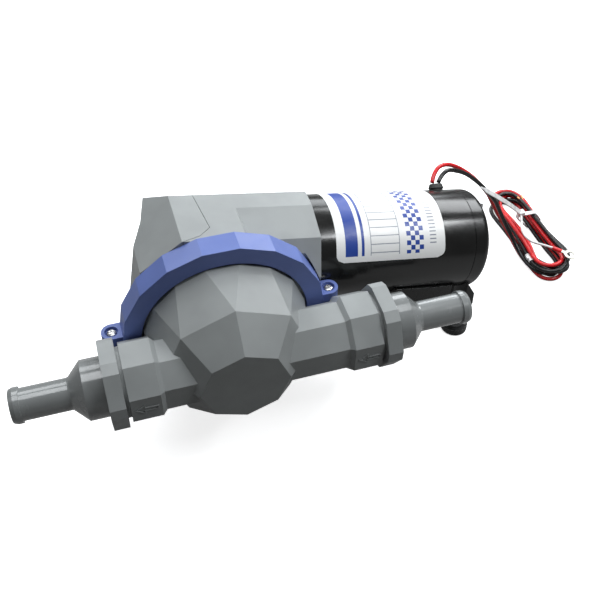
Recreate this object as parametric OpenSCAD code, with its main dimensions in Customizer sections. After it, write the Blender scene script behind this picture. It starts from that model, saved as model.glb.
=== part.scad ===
// Self-priming diaphragm pump for bilge and waste water, driven by a 12 V motor.
// A pinion on the motor shaft turns a gear and an eccentric, whose rod strokes a rubber diaphragm.
// The origin is the centre of the four mounting holes, at ground level. +Z is up,
// the ports lie along X with the inlet at +X, and the dome of the pump head faces -Y.

/* [Mounting] */
// Distance between the left and the right mounting holes
bolt_dx = 172; // [164:1:180]
// Distance between the front and the rear mounting holes
bolt_dy = 96; // [92:1:104]
// Diameter of the hole in each rubber bush
bolt_d = 5.5; // [4.5:0.1:6]
// Outer diameter of the rubber bushes in the feet
bush_d = 12; // [10:0.5:13]
// Thickness of the feet
foot_t = 6; // [5:0.5:8]
// How far the bushes stand proud of the feet, above and below
bush_proud = 1; // [0.5:0.1:1.5]
// Radius of the rounded end of each foot
foot_r = 12; // [11:0.5:14]

/* [Pump head] */
// Distance from the left mounting holes to the dome's axis
head_off = 45; // [43:1:48]
// Depth of the dome, from the clamp ring's front to the apex facet
dome_d = 63; // [58:0.5:68]
// Corner radius of the octagonal apex facet
apex_r = 35; // [32:0.5:38]
// Corner radius of the dome's shoulder
shoulder_r = 58.5; // [57:0.5:60]
// Depth of the dome's shoulder in front of the clamp ring
shoulder_d = 39; // [36:0.5:42]
// Corner radius of the dome's sixteen-sided rim
rim_r = 65.5; // [64:0.5:66]
// Wall of the pump head
head_wall = 4; // [3:0.5:5]

/* [Clamp ring] */
// Outer corner radius of the clamp ring
ring_r = 82; // [81:0.5:83]
// Gap between the clamp ring and the ground
ring_lift = 4; // [3:0.5:8]
// Gap between the dome's rim and the ring's lips
rim_gap = 1.5; // [1:0.5:3.5]
// Width of the clamp ring, front to back
ring_w = 19; // [18.5:0.1:19.2]
// Thickness of the ring's front and back lips
ring_lip = 3.8; // [3:0.1:4.2]
// Wall of the ring outside the groove that holds the flanges, at the corners
ring_wall = 4.5; // [4:0.5:5.5]
// Gap between the two halves of the ring
ring_split = 1.5; // [1:0.1:2.5]
// How far the lug screws lie outside the ring's corners
lug_out = 6.2; // [5:0.2:8]
// Radius of the rounded lugs
lug_r = 8; // [7:0.5:8]
// Height of each lug above the split
lug_h = 9.3; // [8.5:0.1:11]
// Shank diameter of the lug screws
clamp_screw_d = 4; // [3:0.5:5]

/* [Diaphragm] */
// Thickness of the diaphragm's clamped bead
bead_t = 3.5; // [3:0.1:4]
// Thickness of the diaphragm's flexing web
web_t = 2.6; // [2:0.1:3]
// Radius of the plates that clamp the diaphragm's centre
plate_r = 30; // [26:0.5:31]
// Thickness of each clamp plate
plate_t = 3.6; // [3:0.1:4.5]

/* [Ports] */
// Distance of the ports' axis in front of the clamp ring
port_fwd = 32.6; // [32:0.2:34]
// Distance from the dome's axis to the outlet block's end
outlet_end = 85.6; // [84:0.2:88]
// Distance from the dome's axis to the inlet block's end
inlet_end = 109.4; // [108:0.2:120]
// Length of each octagonal end block
block_l = 22.8; // [20:0.2:24]
// Length of the taper between neck and end block
taper_l = 3.4; // [2:0.2:5]
// Corner radius of the octagonal necks
neck_r = 28; // [26:0.5:29]
// Corner radius of the octagonal end blocks
block_r = 31.7; // [31:0.1:33]
// Radius of the passage through each port
port_bore_r = 14; // [12:0.5:16]
// Radius of the threaded spigots under the nuts
spigot_r = 27; // [26:0.5:28]
// Length of the threaded spigots
spigot_l = 8; // [7:0.2:9]

/* [Union nuts] */
// Corner radius of the union nuts
nut_r = 34.4; // [33.5:0.1:34.6]
// Width of the union nuts
nut_w = 12; // [11.4:0.1:13]
// Gap between an end block and its nut
nut_gap = 2.8; // [2:0.1:3.4]
// Angle that each corner chamfer of a nut spans
nut_chamfer = 15.5; // [8:0.5:20]
// Turn of the outlet nut about its axis
outlet_nut_turn = 9; // [0:1:59]
// Turn of the inlet nut about its axis
inlet_nut_turn = 58; // [0:1:59]

/* [Hose tails] */
// Radius of the collar that the nut holds
collar_r = 23.1; // [22:0.1:24]
// Length of the collar outside the nut
collar_l = 15; // [12:0.5:20]
// Length of the cone between collar and tube
cone_l = 10; // [8:0.5:14]
// Radius of the tube that a 25 mm hose fits
tail_r = 12.3; // [12:0.1:12.8]
// Length of the tube
tube_l = 36; // [30:1:45]
// Radius of the retaining bead
tail_bead_r = 13.8; // [13.2:0.1:14.2]
// Length of the bead's cylindrical land
tail_bead_l = 4; // [3:0.5:6]
// Length of the tapered nose beyond the bead
nose_l = 3.2; // [2:0.2:5]
// Radius of the water passage
tail_bore_r = 9.5; // [9:0.1:10]

/* [Valves] */
// Wall of the duckbill valves
valve_wall = 1.6; // [1.2:0.1:2]
// Outer radius of the duckbill's round neck
valve_r = 15.5; // [14.5:0.5:16]
// Length of each duckbill beyond its flange
valve_l = 24; // [20:1:26]
// Thickness of the valve's flange
valve_flange_t = 2; // [1.5:0.1:2.5]

/* [Drive] */
// Tilt of the motor about the dome's axis, down at the free end
tilt = 10.4; // [8:0.2:12]
// Height of the motor's axis above the ports' axis, at the dome's axis
motor_rise = 22.6; // [22:0.1:23]
// Distance from the clamp ring's front face back to the motor's axis
face_back = 64; // [64:0.2:68]
// Module of the gears
gear_module = 1; // [1:0.05:1.05]
// Teeth on the pinion
pinion_teeth = 12; // [12:1:13]
// Teeth on the crank gear
gear_teeth = 52; // [50:1:54]
// Pressure angle of the teeth
pressure_angle = 25; // [24:0.5:26]
// Play between the teeth at the pitch circle
backlash = 0.3; // [0.2:0.01:0.5]
// Face width of the crank gear
gear_w = 10; // [8:0.5:11]
// Throw of the eccentric, half of the diaphragm's stroke
throw = 6; // [4:0.5:6]
// Radius of the crankshaft's journals
journal_r = 6; // [5:0.5:7]
// Radius of the eccentric
eccentric_r = 13; // [12.5:0.1:13.2]
// Outer radius of the rod's bearing
rod_bearing_r = 19; // [18:0.5:20]
// Outer radius of the rod's big end
big_end_r = 24; // [22:0.5:24]
// Width of the rod's big end
big_end_w = 16; // [13:0.5:16]

/* [Gear housing] */
// Height of the housing's top facet above the motor's axis
top_h = 52; // [50:0.5:55]
// Distance of the housing's left wall from the dome's axis
left_l = 64; // [60:0.5:68]
// Distance of the housing's motor end from the dome's axis
adaptor_l = 79; // [77:0.5:82]
// Where the end cover meets the housing, left of the dome's axis
seam_l = 15; // [14:0.5:16]
// Width of the seam round the end cover
seam_gap = 0.4; // [0.3:0.1:0.6]
// Diameter of the cover screws
cover_screw_d = 4; // [3:0.5:5]

/* [Motor] */
// Radius of the motor can
motor_r = 44.5; // [43:0.1:44.6]
// Wall of the motor can
can_t = 2.5; // [2:0.1:3]
// Where the can starts, right of the dome's axis
can_start = 58; // [56:0.5:62]
// Distance from the right mounting holes back to the joint of can and end cap
cap_back = 4; // [0:1:14]
// Length of the end cap
cap_l = 15.7; // [14:0.1:18]
// Radius that rounds the end cap's rim
cap_round = 6; // [3:0.5:9]
// Radius of the motor shaft
shaft_r = 4; // [3:0.5:4]
// Radius of the armature core
core_r = 33; // [30:0.5:33.5]
// Slots in the armature core
core_slots = 12; // [8:1:16]
// Radius of the commutator
commutator_r = 14; // [12:0.5:16]
// Bars of the commutator
commutator_bars = 12; // [8:1:16]
// Inner radius of the field magnets
magnet_r = 35; // [34.5:0.5:37]

/* [Motor cradle] */
// Distance of the cradle's left end from the right mounting holes
cradle_left = 72; // [66:1:80]
// Distance of the cradle's right end from the right mounting holes
cradle_right = 14; // [13:1:20]
// Half width of the cradle's saddle
cradle_half = 44; // [42:0.5:44]
// Wall of the cradle
cradle_wall = 9; // [7:0.5:12]

/* [Leads] */
// Diameter of the red and black leads
lead_d = 4; // [3.4:0.1:4]
// Diameter of the thin white lead
thin_lead_d = 2.4; // [2:0.1:2.4]
// Radius of the rubber grommet where the leads leave the motor
grommet_r = 7; // [6:0.5:8]
// Width of the tied hank of leads
hank_w = 42; // [38:1:46]
// Length of the tied hank
hank_l = 138; // [120:2:150]
// Height of the tied hank
hank_h = 20; // [18:1:22]
// Radius of the eye in the ring terminal
eye_r = 3.2; // [2.6:0.1:4.2]

/* [Hidden] */
$fn = 64;

// Small shared distances
eps = 0.01;
cut = 1;
fit_gap = 0.05;
clear_gap = 0.3;
part_gap = 0.2;

// Colours, as the pump shows them
grey_plastic = [0.50, 0.52, 0.52];
blue_plastic = [0.24, 0.27, 0.52];
black_plastic = [0.10, 0.10, 0.10];
black_paint = [0.08, 0.08, 0.09];
black_rubber = [0.13, 0.13, 0.13];
steel = [0.72, 0.72, 0.74];
copper = [0.72, 0.42, 0.22];
white_nylon = [0.92, 0.92, 0.90];
red_wire = [0.85, 0.10, 0.12];

// Places of the main frames
head_x = -bolt_dx/2 - head_off;
head_h = ring_r + ring_lift;
motor_z = head_h + motor_rise;
cradle_along = (bolt_dx/2 - head_x)*cos(tilt) + (motor_z - foot_t)*sin(tilt);
can_end = cradle_along - cap_back;
drive_h = -motor_rise*cos(tilt);
rod_z = motor_rise*sin(tilt);

// The stack in the clamp ring, measured back from its front face
flange_front = ring_lip + part_gap;
flange_t = (ring_w - 2*ring_lip - 2*part_gap - bead_t)*0.57;
bead_front = flange_front + flange_t;
bead_back = bead_front + bead_t;
seat_back = ring_w - ring_lip - part_gap;
groove_r = ring_r - ring_wall;
ring_bore_r = rim_r + rim_gap;
lug_x = ring_r + lug_out;
flange_r = groove_r - 0.5;
lug_back = ring_w*0.58;
lug_split = ring_split/2;
screw_seat = 3;
screw_head_r = clamp_screw_d;
screw_head_t = 2.6;

// Gear train
pitch_gear = gear_module*gear_teeth/2;
pitch_pinion = gear_module*pinion_teeth/2;
centre_distance = pitch_gear + pitch_pinion;
crank_y = sqrt(centre_distance*centre_distance - drive_h*drive_h);
mesh_angle = atan2(-drive_h, -crank_y);
addendum = 0.8*gear_module;
dedendum = 1.1*gear_module;
big_end_start = rod_z - big_end_w/2;
big_end_end = rod_z + big_end_w/2;
gear_start = big_end_end + 3.5;
gear_end = gear_start + gear_w;
chamber_start = -seam_l;
chamber_end = gear_end + 3;
chamber_r = big_end_r + throw + 1;
crank_bearing_w = 7;
crank_bearing_r = journal_r + 7;
left_bearing_start = -seam_l - crank_bearing_w - 1;
right_bearing_start = chamber_end + 1;
crank_end = right_bearing_start + crank_bearing_w;
bell_start = can_start - 8;
motor_bearing_r = shaft_r + 7;
motor_bearing_w = 7;
socket_gap = 0.15;
tail_bearing_start = can_end + 5;
bolt_r = 2;
cradle_floor = motor_r + 7;
cradle_in = cradle_half - cradle_wall;
cradle_screw_d = 5;
shaft_end = tail_bearing_start + motor_bearing_w - 0.5;
can_in = motor_r - can_t;

// Diaphragm, measured back from the ring's front face, with the rod fully forward
web_mid = (bead_front + bead_back)/2;
web_centre = web_mid - throw;
web_inner_r = plate_r + 1;
web_outer_r = rim_r - 6;
plate_rear_back = web_centre + web_t/2 + plate_t;
plate_front_front = web_centre - web_t/2 - plate_t;
rod_boss_r = 13;
rod_waist_r = big_end_w/2 + 1.6;
rod_screw_r = 4;
rod_screw_reach = 22;
rod_screw_head_r = 7.5;

// Ports
neck_start = 30;
union_seat = spigot_l;
valve_flange_r = spigot_r - 1.4;
tail_flange_front = union_seat + valve_flange_t;
tail_flange_t = nut_gap + nut_w - tail_flange_front - 2.6;
nut_lip_start = tail_flange_front + tail_flange_t + part_gap;
nut_end = nut_gap + nut_w;
tail_bore_big = collar_r - 4;

// Housing outline
rear_y = 56;
top_rear = 10;
drum_front = face_back - ring_w - clear_gap;
drum_back = 6;
drum_depth = ring_w + clear_gap;
neck_out_r = ring_bore_r + 3.5;
chamfer_top_x = -left_l + 29;
chamfer_low_y = top_h - 29;
foot_access = 60;

// Leads: points chosen by hand, in millimetres
grommet_along = can_end - 11;
grommet_angle = 45;
grommet_out = motor_r + 5.5;
black_route = [
    [91.7, 36, 104.8], [96, 40, 108], [104, 45, 109], [114, 48, 104.5], [127, 50, 96.5], [141, 50, 84],
    [153, 49, 71], [164, 48, 57], [173, 47, 43], [179, 45, 32], [182.5, 43, 22], [185.6, 41, 12]
];
red_route = [
    [86, 37, 105], [90, 43, 109], [98, 50, 111], [109, 54, 108], [122, 56, 100], [136, 57, 88],
    [148, 58, 75], [159, 58, 61], [169, 58, 47], [177, 58, 34], [182, 58, 23], [185.6, 58, 12]
];
hank_x = 209;
hank_y = 44;
tie_y = 59;
tie_w = 4.8;
tie_t = 1.2;
tie_head_x = 206;
tie_head = [7, 6.5, 4.5];
tail_l = 94;
tail_turn = 196.6;
tail_rise = 42.5;
tail_roll = -50;
marker_y = 4;
marker_z = 13;
marker = [5.5, 6];
thin_z = 22;
thin_route = [
    [204, 54.5, thin_z], [201, 48, thin_z], [197, 40, thin_z], [194.6, 33, thin_z], [194, 26, thin_z],
    [196, 18, thin_z], [200, 13.6, thin_z], [204.4, 9.9, thin_z], [208.4, 6.3, thin_z], [212, 3, thin_z]
];
terminal_angle = -48;
terminal_at = [212, 3, thin_z];
sleeve_l = 9;
eye_reach = 18;

// Frames
// Pump head: x right, y up, z towards the dome's apex, from the centre of the ring's front face
module at_head() {
    translate([head_x, -face_back, head_h]) rotate([90, 0, 0]) children();
}

// Plan: x along the motor, y away from the dome, z up, from the motor's axis at the dome
module at_plan() {
    translate([head_x, 0, motor_z]) rotate([0, tilt, 0]) children();
}

// Front: x along the motor, y up, z towards the dome
module at_front() {
    at_plan() rotate([90, 0, 0]) children();
}

// Drive: x away from the dome, y up, z along the motor's axis, from the dome's axis
module at_drive() {
    translate([head_x, 0, motor_z]) rotate([0, tilt, 0]) rotate([90, 0, 90]) children();
}

// Port: z points out of the pump, from the end face of a block. side is 1 for the inlet, -1 for the outlet
module at_port(side) {
    at_head() translate([side > 0 ? inlet_end : -outlet_end, 0, port_fwd]) rotate([0, side*90, 0]) children();
}

// Crank: the drive frame moved to the crankshaft's axis
module at_crank() {
    at_drive() translate([crank_y, drive_h, 0]) children();
}

// Each lug screw's axis, z up from the split
module at_lugs() {
    for (side = [-1, 1]) at_head() translate([side*lug_x, 0, -lug_back]) rotate([-90, 0, 0]) children();
}

// Each mounting hole's axis at ground level, from the list of sides
module at_holes(sides = [-1, 1]) {
    for (sx = sides, sy = [-1, 1]) translate([sx*bolt_dx/2, sy*bolt_dy/2, 0]) children();
}

// General shapes
// An octagonal bar with two flats level, from z0 over length l
module octagon(r, l, z0) {
    translate([0, 0, z0]) rotate([0, 0, 22.5]) cylinder(r = r, h = l, $fn = 8);
}

// A tube from z0 over length l
module ring_tube(outer, inner, l, z0) {
    translate([0, 0, z0]) difference() {
        cylinder(r = outer, h = l);
        translate([0, 0, -cut]) cylinder(r = inner, h = l + 2*cut);
    }
}

// A rod of radius r from z0 over length l
module bar(r, l, z0) {
    translate([0, 0, z0]) cylinder(r = r, h = l);
}

// A pan-head screw with a cross recess: the head stands up from z = 0 and the shank goes down
module pan_screw(d, l, head_r, head_t) {
    difference() {
        union() {
            rotate_extrude() polygon([
                [0, 0], [head_r, 0], [head_r, head_t*0.35], [head_r*0.86, head_t*0.75], [head_r*0.55, head_t], [0, head_t]
            ]);
            bar(d/2, l + eps, -l);
        }
        for (a = [0, 90]) rotate([0, 0, a]) translate([-head_r*0.55, -d*0.1, head_t - d*0.3]) cube([head_r*1.1, d*0.2, d]);
    }
}

// A round ball-bearing of two races and a shield
module bearing(inner, outer, w, z0) {
    translate([0, 0, z0]) difference() {
        cylinder(r = outer, h = w);
        translate([0, 0, -cut]) cylinder(r = inner, h = w + 2*cut);
        for (z = [-eps, w - 0.6 + eps]) translate([0, 0, z]) difference() {
            cylinder(r = outer - (outer - inner)*0.22, h = 0.6);
            translate([0, 0, -cut]) cylinder(r = inner + (outer - inner)*0.22, h = 0.6 + 2*cut);
        }
    }
}

// The ring of points round a route at its point i, square to the route
function unit_v(v) = v/norm(v);
function tangent_at(route, i) = unit_v(route[min(i + 1, len(route) - 1)] - route[max(i - 1, 0)]);
function side_of(t) = unit_v(cross(t, abs(t[2]) < 0.95 ? [0, 0, 1] : [0, 1, 0]));
function tube_ring(route, i, r, sides) =
    let (t = tangent_at(route, i), a = side_of(t), b = cross(t, a))
    [for (k = [0 : sides - 1]) route[i] + r*cos(360*k/sides)*a + r*sin(360*k/sides)*b];

// A point on the smooth curve through the route's points, at parameter u from 0 to the last index
function spline_point(route, u) =
    let (
        n = len(route),
        i = min(floor(u), n - 2),
        f = u - i,
        p0 = route[max(i - 1, 0)],
        p1 = route[i],
        p2 = route[i + 1],
        p3 = route[min(i + 2, n - 1)]
    )
    0.5*((2*p1) + (p2 - p0)*f + (2*p0 - 5*p1 + 4*p2 - p3)*f*f + (3*p1 - p0 - 3*p2 + p3)*f*f*f);
function smooth_route(route, steps) = [
    for (k = [0 : (len(route) - 1)*steps]) spline_point(route, k/steps)
];

// A closed tube swept along a list of points
module swept_tube(route, r, sides = 8) {
    n = len(route);
    rings = [for (i = [0 : n - 1]) each tube_ring(route, i, r, sides)];
    walls = [
        for (i = [0 : n - 2], k = [0 : sides - 1])
            [i*sides + k, i*sides + (k + 1)%sides, (i + 1)*sides + (k + 1)%sides, (i + 1)*sides + k]
    ];
    first_cap = [[for (k = [0 : sides - 1]) sides - 1 - k]];
    last_cap = [[for (k = [0 : sides - 1]) (n - 1)*sides + k]];
    polyhedron(points = rings, faces = concat(walls, first_cap, last_cap), convexity = 6);
}

// Involute gear outline
function involute(base, angle) = [
    base*(cos(angle) + angle*PI/180*sin(angle)),
    base*(sin(angle) - angle*PI/180*cos(angle))
];
function roll_at(base, r) = r <= base ? 0 : sqrt((r/base)*(r/base) - 1)*180/PI;
function turned(p, a) = [p[0]*cos(a) - p[1]*sin(a), p[0]*sin(a) + p[1]*cos(a)];
function flank_lag(base, r) = let (p = involute(base, roll_at(base, r))) atan2(p[1], p[0]);
function tooth(teeth, play) =
    let (
        pitch = gear_module*teeth/2,
        base = pitch*cos(pressure_angle),
        tip = pitch + addendum,
        root = pitch - dedendum,
        half = 90/teeth - play/pitch*45/PI + flank_lag(base, pitch),
        low = max(base, root),
        steps = [0, 0.35, 0.7, 1],
        rising = [for (s = steps) turned(involute(base, roll_at(base, low + (tip - low)*s)), -half)]
    )
    concat(
        [turned([root, 0], -half)],
        rising,
        [for (i = [len(steps) - 1 : -1 : 0]) [rising[i][0], -rising[i][1]]],
        [turned([root, 0], half)]
    );
function gear_outline(teeth, play) = [
    for (k = [0 : teeth - 1]) each [for (p = tooth(teeth, play)) turned(p, 360*k/teeth)]
];

// The dome: octagonal apex, octagonal shoulder and a sixteen-sided rim that runs straight back
function dome_corners(count, r, z, start) = [
    for (k = [0 : count - 1]) [r*sin(start + 360*k/count), r*cos(start + 360*k/count), z]
];
module dome_solid(top_r, top_z, mid_r, mid_z, low_r, low_z, back_z) {
    points = concat(
        dome_corners(8, top_r, top_z, 0),
        dome_corners(8, mid_r, mid_z, 0),
        dome_corners(16, low_r, low_z, 11.25),
        dome_corners(16, low_r, back_z, 11.25)
    );
    apex = [[for (k = [7 : -1 : 0]) 7 - k]];
    upper = [for (k = [0 : 7]) [k, 8 + k, 8 + (k + 1)%8, (k + 1)%8]];
    kites = [for (k = [0 : 7]) [8 + k, 16 + 2*k, 16 + (2*k + 1)%16, 8 + (k + 1)%8]];
    darts = [for (k = [0 : 7]) [8 + k, 16 + (2*k + 15)%16, 16 + 2*k]];
    skirt = [for (k = [0 : 15]) [16 + k, 32 + k, 32 + (k + 1)%16, 16 + (k + 1)%16]];
    back = [[for (k = [0 : 15]) 32 + 15 - k]];
    polyhedron(points = points, faces = concat(apex, upper, kites, darts, skirt, back), convexity = 4);
}

// A raised flow arrow outline that points to -X, on a face that looks along +Z
module flow_arrow() {
    difference() {
        polygon([[-9, 0], [-1, 5], [-1, 2], [9, 2], [9, -2], [-1, -2], [-1, -5]]);
        polygon([[-7.2, 0], [-2, 3.2], [-2, 1], [8, 1], [8, -1], [-2, -1], [-2, -3.2]]);
    }
}

// Pump head
module port_body(side) {
    reach = (side > 0 ? inlet_end : outlet_end) - neck_start;
    at_port(side) {
        octagon(neck_r, reach - block_l, -reach);
        translate([0, 0, -block_l - taper_l]) rotate([0, 0, 22.5]) cylinder(r1 = neck_r - eps, r2 = block_r, h = taper_l, $fn = 8);
        octagon(block_r, block_l, -block_l);
        bar(spigot_r, spigot_l + eps, -eps);
    }
}

module pump_head() {
    color(grey_plastic) {
        difference() {
            union() {
                at_head() {
                    dome_solid(apex_r, dome_d, shoulder_r, shoulder_d, rim_r, 0, -bead_front + eps);
                    bar(flange_r, flange_t, -bead_front);
                }
                for (side = [-1, 1]) port_body(side);
            }
            at_head() dome_solid(
                apex_r - head_wall*0.6, dome_d - head_wall,
                shoulder_r - head_wall, shoulder_d - head_wall*0.4,
                rim_r - head_wall, 0, -bead_front - cut
            );
            at_port(-1) bar(port_bore_r, outlet_end - neck_start + spigot_l + cut, -outlet_end + neck_start);
            at_port(1) {
                bar(port_bore_r, inlet_end - neck_start + spigot_l + cut, -inlet_end + neck_start);
                bar(valve_r + 3, valve_l + spigot_l + 4, -valve_l - 3);
            }
        }
        for (side = [-1, 1]) {
            end = side > 0 ? inlet_end : outlet_end;
            at_head() translate([side*(end - block_l/2), 0, port_fwd + block_r*cos(22.5) - eps])
                linear_extrude(0.6) flow_arrow();
        }
    }
}

// Clamp ring
module ring_outline() {
    polygon([for (k = [0 : 17]) [ring_r*cos(20*k), ring_r*sin(20*k)]]);
}

module clamp_ring_half(up) {
    difference() {
        union() {
            at_head() translate([0, 0, -ring_w]) linear_extrude(ring_w) ring_outline();
            at_lugs() mirror([0, 0, up > 0 ? 0 : 1]) bar(lug_r, lug_h - lug_split, lug_split);
            at_head() for (side = [-1, 1]) {
                low = up > 0 ? lug_split : -lug_h;
                x0 = side > 0 ? ring_bore_r + 8 : -lug_x;
                translate([x0, low, -lug_back - lug_r]) cube([lug_x - ring_bore_r - 8, lug_h - lug_split, 2*lug_r]);
            }
        }
        at_head() {
            bar(ring_bore_r, ring_w + 2*cut, -ring_w - cut);
            bar(groove_r, ring_w - 2*ring_lip, -ring_w + ring_lip);
            bar(neck_out_r + 0.5, ring_lip + 2*cut, -ring_w - cut);
            low = up > 0 ? -2*ring_r : -lug_split;
            translate([-2*ring_r, up > 0 ? low + lug_split : low, -2*ring_w]) cube([4*ring_r, 2*ring_r, 4*ring_w]);
        }
        at_lugs() {
            bar(clamp_screw_d/2 + fit_gap, 4*lug_h, -2*lug_h);
            bar(screw_head_r + 1.2, screw_seat + cut, lug_h - screw_seat);
        }
    }
}

module clamp_ring_upper() {
    color(blue_plastic) clamp_ring_half(1);
}

module clamp_ring_lower() {
    color(blue_plastic) clamp_ring_half(-1);
}

module clamp_screws() {
    color(steel) at_lugs() translate([0, 0, lug_h - screw_seat])
        pan_screw(clamp_screw_d, 2*lug_h - screw_seat, screw_head_r, screw_head_t);
}

// Diaphragm: a clamped bead, one rolling fold and a flat centre, revolved about the dome's axis
function web_z(r) =
    let (
        s = max(0, min(1, (r - web_inner_r)/(web_outer_r - web_inner_r))),
        lift = (1 + cos(180*s))/2
    )
    -web_mid + (web_mid - web_centre)*lift - 4*sin(180*s)*sin(180*s);

module diaphragm() {
    steps = 14;
    radii = concat([rod_screw_r + fit_gap], [for (k = [0 : steps]) web_inner_r + (web_outer_r - web_inner_r)*k/steps]);
    color(black_rubber) at_head() {
        rotate_extrude($fn = 96) polygon(concat(
            [for (r = radii) [r, web_z(r) + web_t/2]],
            [for (k = [len(radii) - 1 : -1 : 0]) [radii[k], web_z(radii[k]) - web_t/2]]
        ));
        ring_tube(flange_r - 1, web_outer_r - eps, bead_t, -bead_back);
    }
}

module diaphragm_front_plate() {
    color(steel) at_head() translate([0, 0, -plate_front_front - plate_t]) rotate_extrude() polygon([
        [rod_screw_r + fit_gap, 0], [plate_r - 2, 0], [plate_r, 1.2], [plate_r - 1, plate_t], [rod_screw_r + fit_gap, plate_t]
    ]);
}

module diaphragm_rear_plate() {
    color(steel) at_head() translate([0, 0, -plate_rear_back]) rotate_extrude() polygon([
        [rod_screw_r + fit_gap, 0], [plate_r - 1, 0], [plate_r, plate_t - 1.2], [plate_r - 2, plate_t], [rod_screw_r + fit_gap, plate_t]
    ]);
}

module diaphragm_screw() {
    head_t = 5;
    color(steel) at_head() {
        translate([0, 0, -plate_front_front]) cylinder(r = rod_screw_head_r, h = head_t, $fn = 6);
        bar(rod_screw_r, plate_rear_back - plate_front_front + rod_screw_reach + eps, -plate_rear_back - rod_screw_reach);
    }
}

// Rod: big end round the eccentric, a waisted arm and a boss that carries the plates
module connecting_rod() {
    pin_back = face_back + crank_y - throw;
    arm_l = pin_back - plate_rear_back - big_end_r + 3;
    boss_from = arm_l*0.6;
    color(steel) difference() {
        union() {
            at_crank() translate([-throw, 0, 0]) bar(big_end_r, big_end_w, big_end_start);
            at_head() translate([0, 0, -plate_rear_back - arm_l]) {
                translate([0, 0, boss_from]) cylinder(r1 = rod_waist_r, r2 = rod_boss_r, h = arm_l - boss_from);
                bar(rod_waist_r, boss_from + eps, 0);
            }
        }
        at_crank() translate([-throw, 0, 0]) bar(rod_bearing_r, big_end_w + 2*cut, big_end_start - cut);
        at_head() bar(rod_screw_r, rod_screw_reach + cut, -plate_rear_back - rod_screw_reach - 0.5);
    }
}

module rod_bearing() {
    color(steel) at_crank() translate([-throw, 0, 0])
        bearing(eccentric_r + fit_gap, rod_bearing_r, big_end_w - 2, big_end_start + 1);
}

module crankshaft() {
    color(steel) at_crank() {
        bar(journal_r, crank_end - left_bearing_start - 0.5, left_bearing_start + 0.5);
        translate([-throw, 0, 0]) bar(eccentric_r, big_end_w, big_end_start);
        bar(journal_r + 2, big_end_start - left_bearing_start - crank_bearing_w - 0.5, left_bearing_start + crank_bearing_w + 0.5);
        bar(journal_r + 2, right_bearing_start - gear_end - 0.5, gear_end);
    }
}

module crank_gear() {
    web = 4;
    color(steel) at_crank() difference() {
        union() {
            translate([0, 0, gear_start]) linear_extrude(gear_w) rotate([0, 0, mesh_angle]) difference() {
                polygon(gear_outline(gear_teeth, backlash));
                circle(r = pitch_gear - 4);
            }
            bar(pitch_gear - 3.9, web, gear_start + (gear_w - web)/2);
            bar(journal_r + 5, gear_w + 2, gear_start - 2);
        }
        bar(journal_r, gear_w + 4 + 2*cut, gear_start - 2 - cut);
        for (a = [0 : 60 : 300]) rotate([0, 0, a]) translate([(pitch_gear + journal_r)/2 + 0.5, 0, gear_start - cut])
            cylinder(r = 3.4, h = gear_w + 2*cut, $fn = 32);
    }
}

module crank_bearings() {
    color(steel) at_crank() {
        bearing(journal_r + fit_gap, crank_bearing_r, crank_bearing_w, left_bearing_start);
        bearing(journal_r + fit_gap, crank_bearing_r, crank_bearing_w, right_bearing_start);
    }
}

// Housing sections, seen from the motor's end: x away from the dome, y up
// The rear slope leaves the top facet at the same edge in both, and clears the can
rear_slope_y = top_h - (rear_y - top_rear)*0.855;

// Part round the motor
module adaptor_section() {
    polygon([
        [top_rear, top_h], [rear_y, rear_slope_y], [rear_y, -24], [38, -46], [14, -56],
        [-14, -56], [-38, -46], [-rear_y, -24], [-rear_y, top_h - 35], [-38, top_h - 8.5], [-8, top_h]
    ]);
}

// Part round the gears
module gearbox_section() {
    polygon([
        [-8, top_h], [top_rear, top_h], [rear_y, rear_slope_y], [rear_y, -46], [38, -62], [-8, -62]
    ]);
}

// The case seen from the front: x along the motor, y up
module case_outline() {
    polygon([
        [-left_l, -60], [-left_l, chamfer_low_y], [chamfer_top_x, top_h], [can_start, top_h],
        [can_start, -60], [40, drive_h - 68], [-38, drive_h - 68]
    ]);
}

// The drum behind the clamp ring seen from the front
module drum_outline() {
    polygon([
        [-left_l, -60], [-left_l, chamfer_low_y], [chamfer_top_x, top_h], [15, top_h], [21, top_h - 8],
        [left_l + 2, 8], [left_l + 2, -60], [40, drive_h - 68], [-38, drive_h - 68]
    ]);
}

// The case seen from above: x along the motor, y away from the dome
module case_plan() {
    polygon([
        [-left_l, -face_back], [-left_l, -14], [8 - left_l, 5], [20 - left_l, rear_y + cut],
        [adaptor_l, rear_y + cut], [adaptor_l, -face_back]
    ]);
}

// The drum behind the ring and the gearbox behind that
module case_body() {
    intersection() {
        union() {
            at_front() translate([0, 0, drum_back]) linear_extrude(drum_front - drum_back) drum_outline();
            intersection() {
                at_drive() translate([0, 0, -left_l - cut]) linear_extrude(left_l + can_start) gearbox_section();
                at_front() translate([0, 0, -2*rear_y]) linear_extrude(3*rear_y) case_outline();
            }
        }
        at_plan() translate([0, 0, -3*top_h]) linear_extrude(5*top_h) case_plan();
    }
}

// What belongs to the end cover, seen from above; the housing keeps the disc behind the ring
module cover_zone(gap) {
    difference() {
        at_plan() translate([0, 0, -3*top_h]) linear_extrude(5*top_h) offset(delta = gap) polygon([
            [-seam_l - 1, 2*rear_y], [-seam_l - 1, top_rear], [4 - seam_l, 15 - drum_front], [-seam_l - 5, 6 - drum_front],
            [chamfer_top_x, -drum_front], [chamfer_top_x, -2*rear_y], [-3*left_l, -2*rear_y], [-3*left_l, 2*rear_y]
        ]);
        at_head() bar(neck_out_r + 3 - gap, ring_w + 10 - gap, -ring_w - 10 + gap);
    }
}

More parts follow.
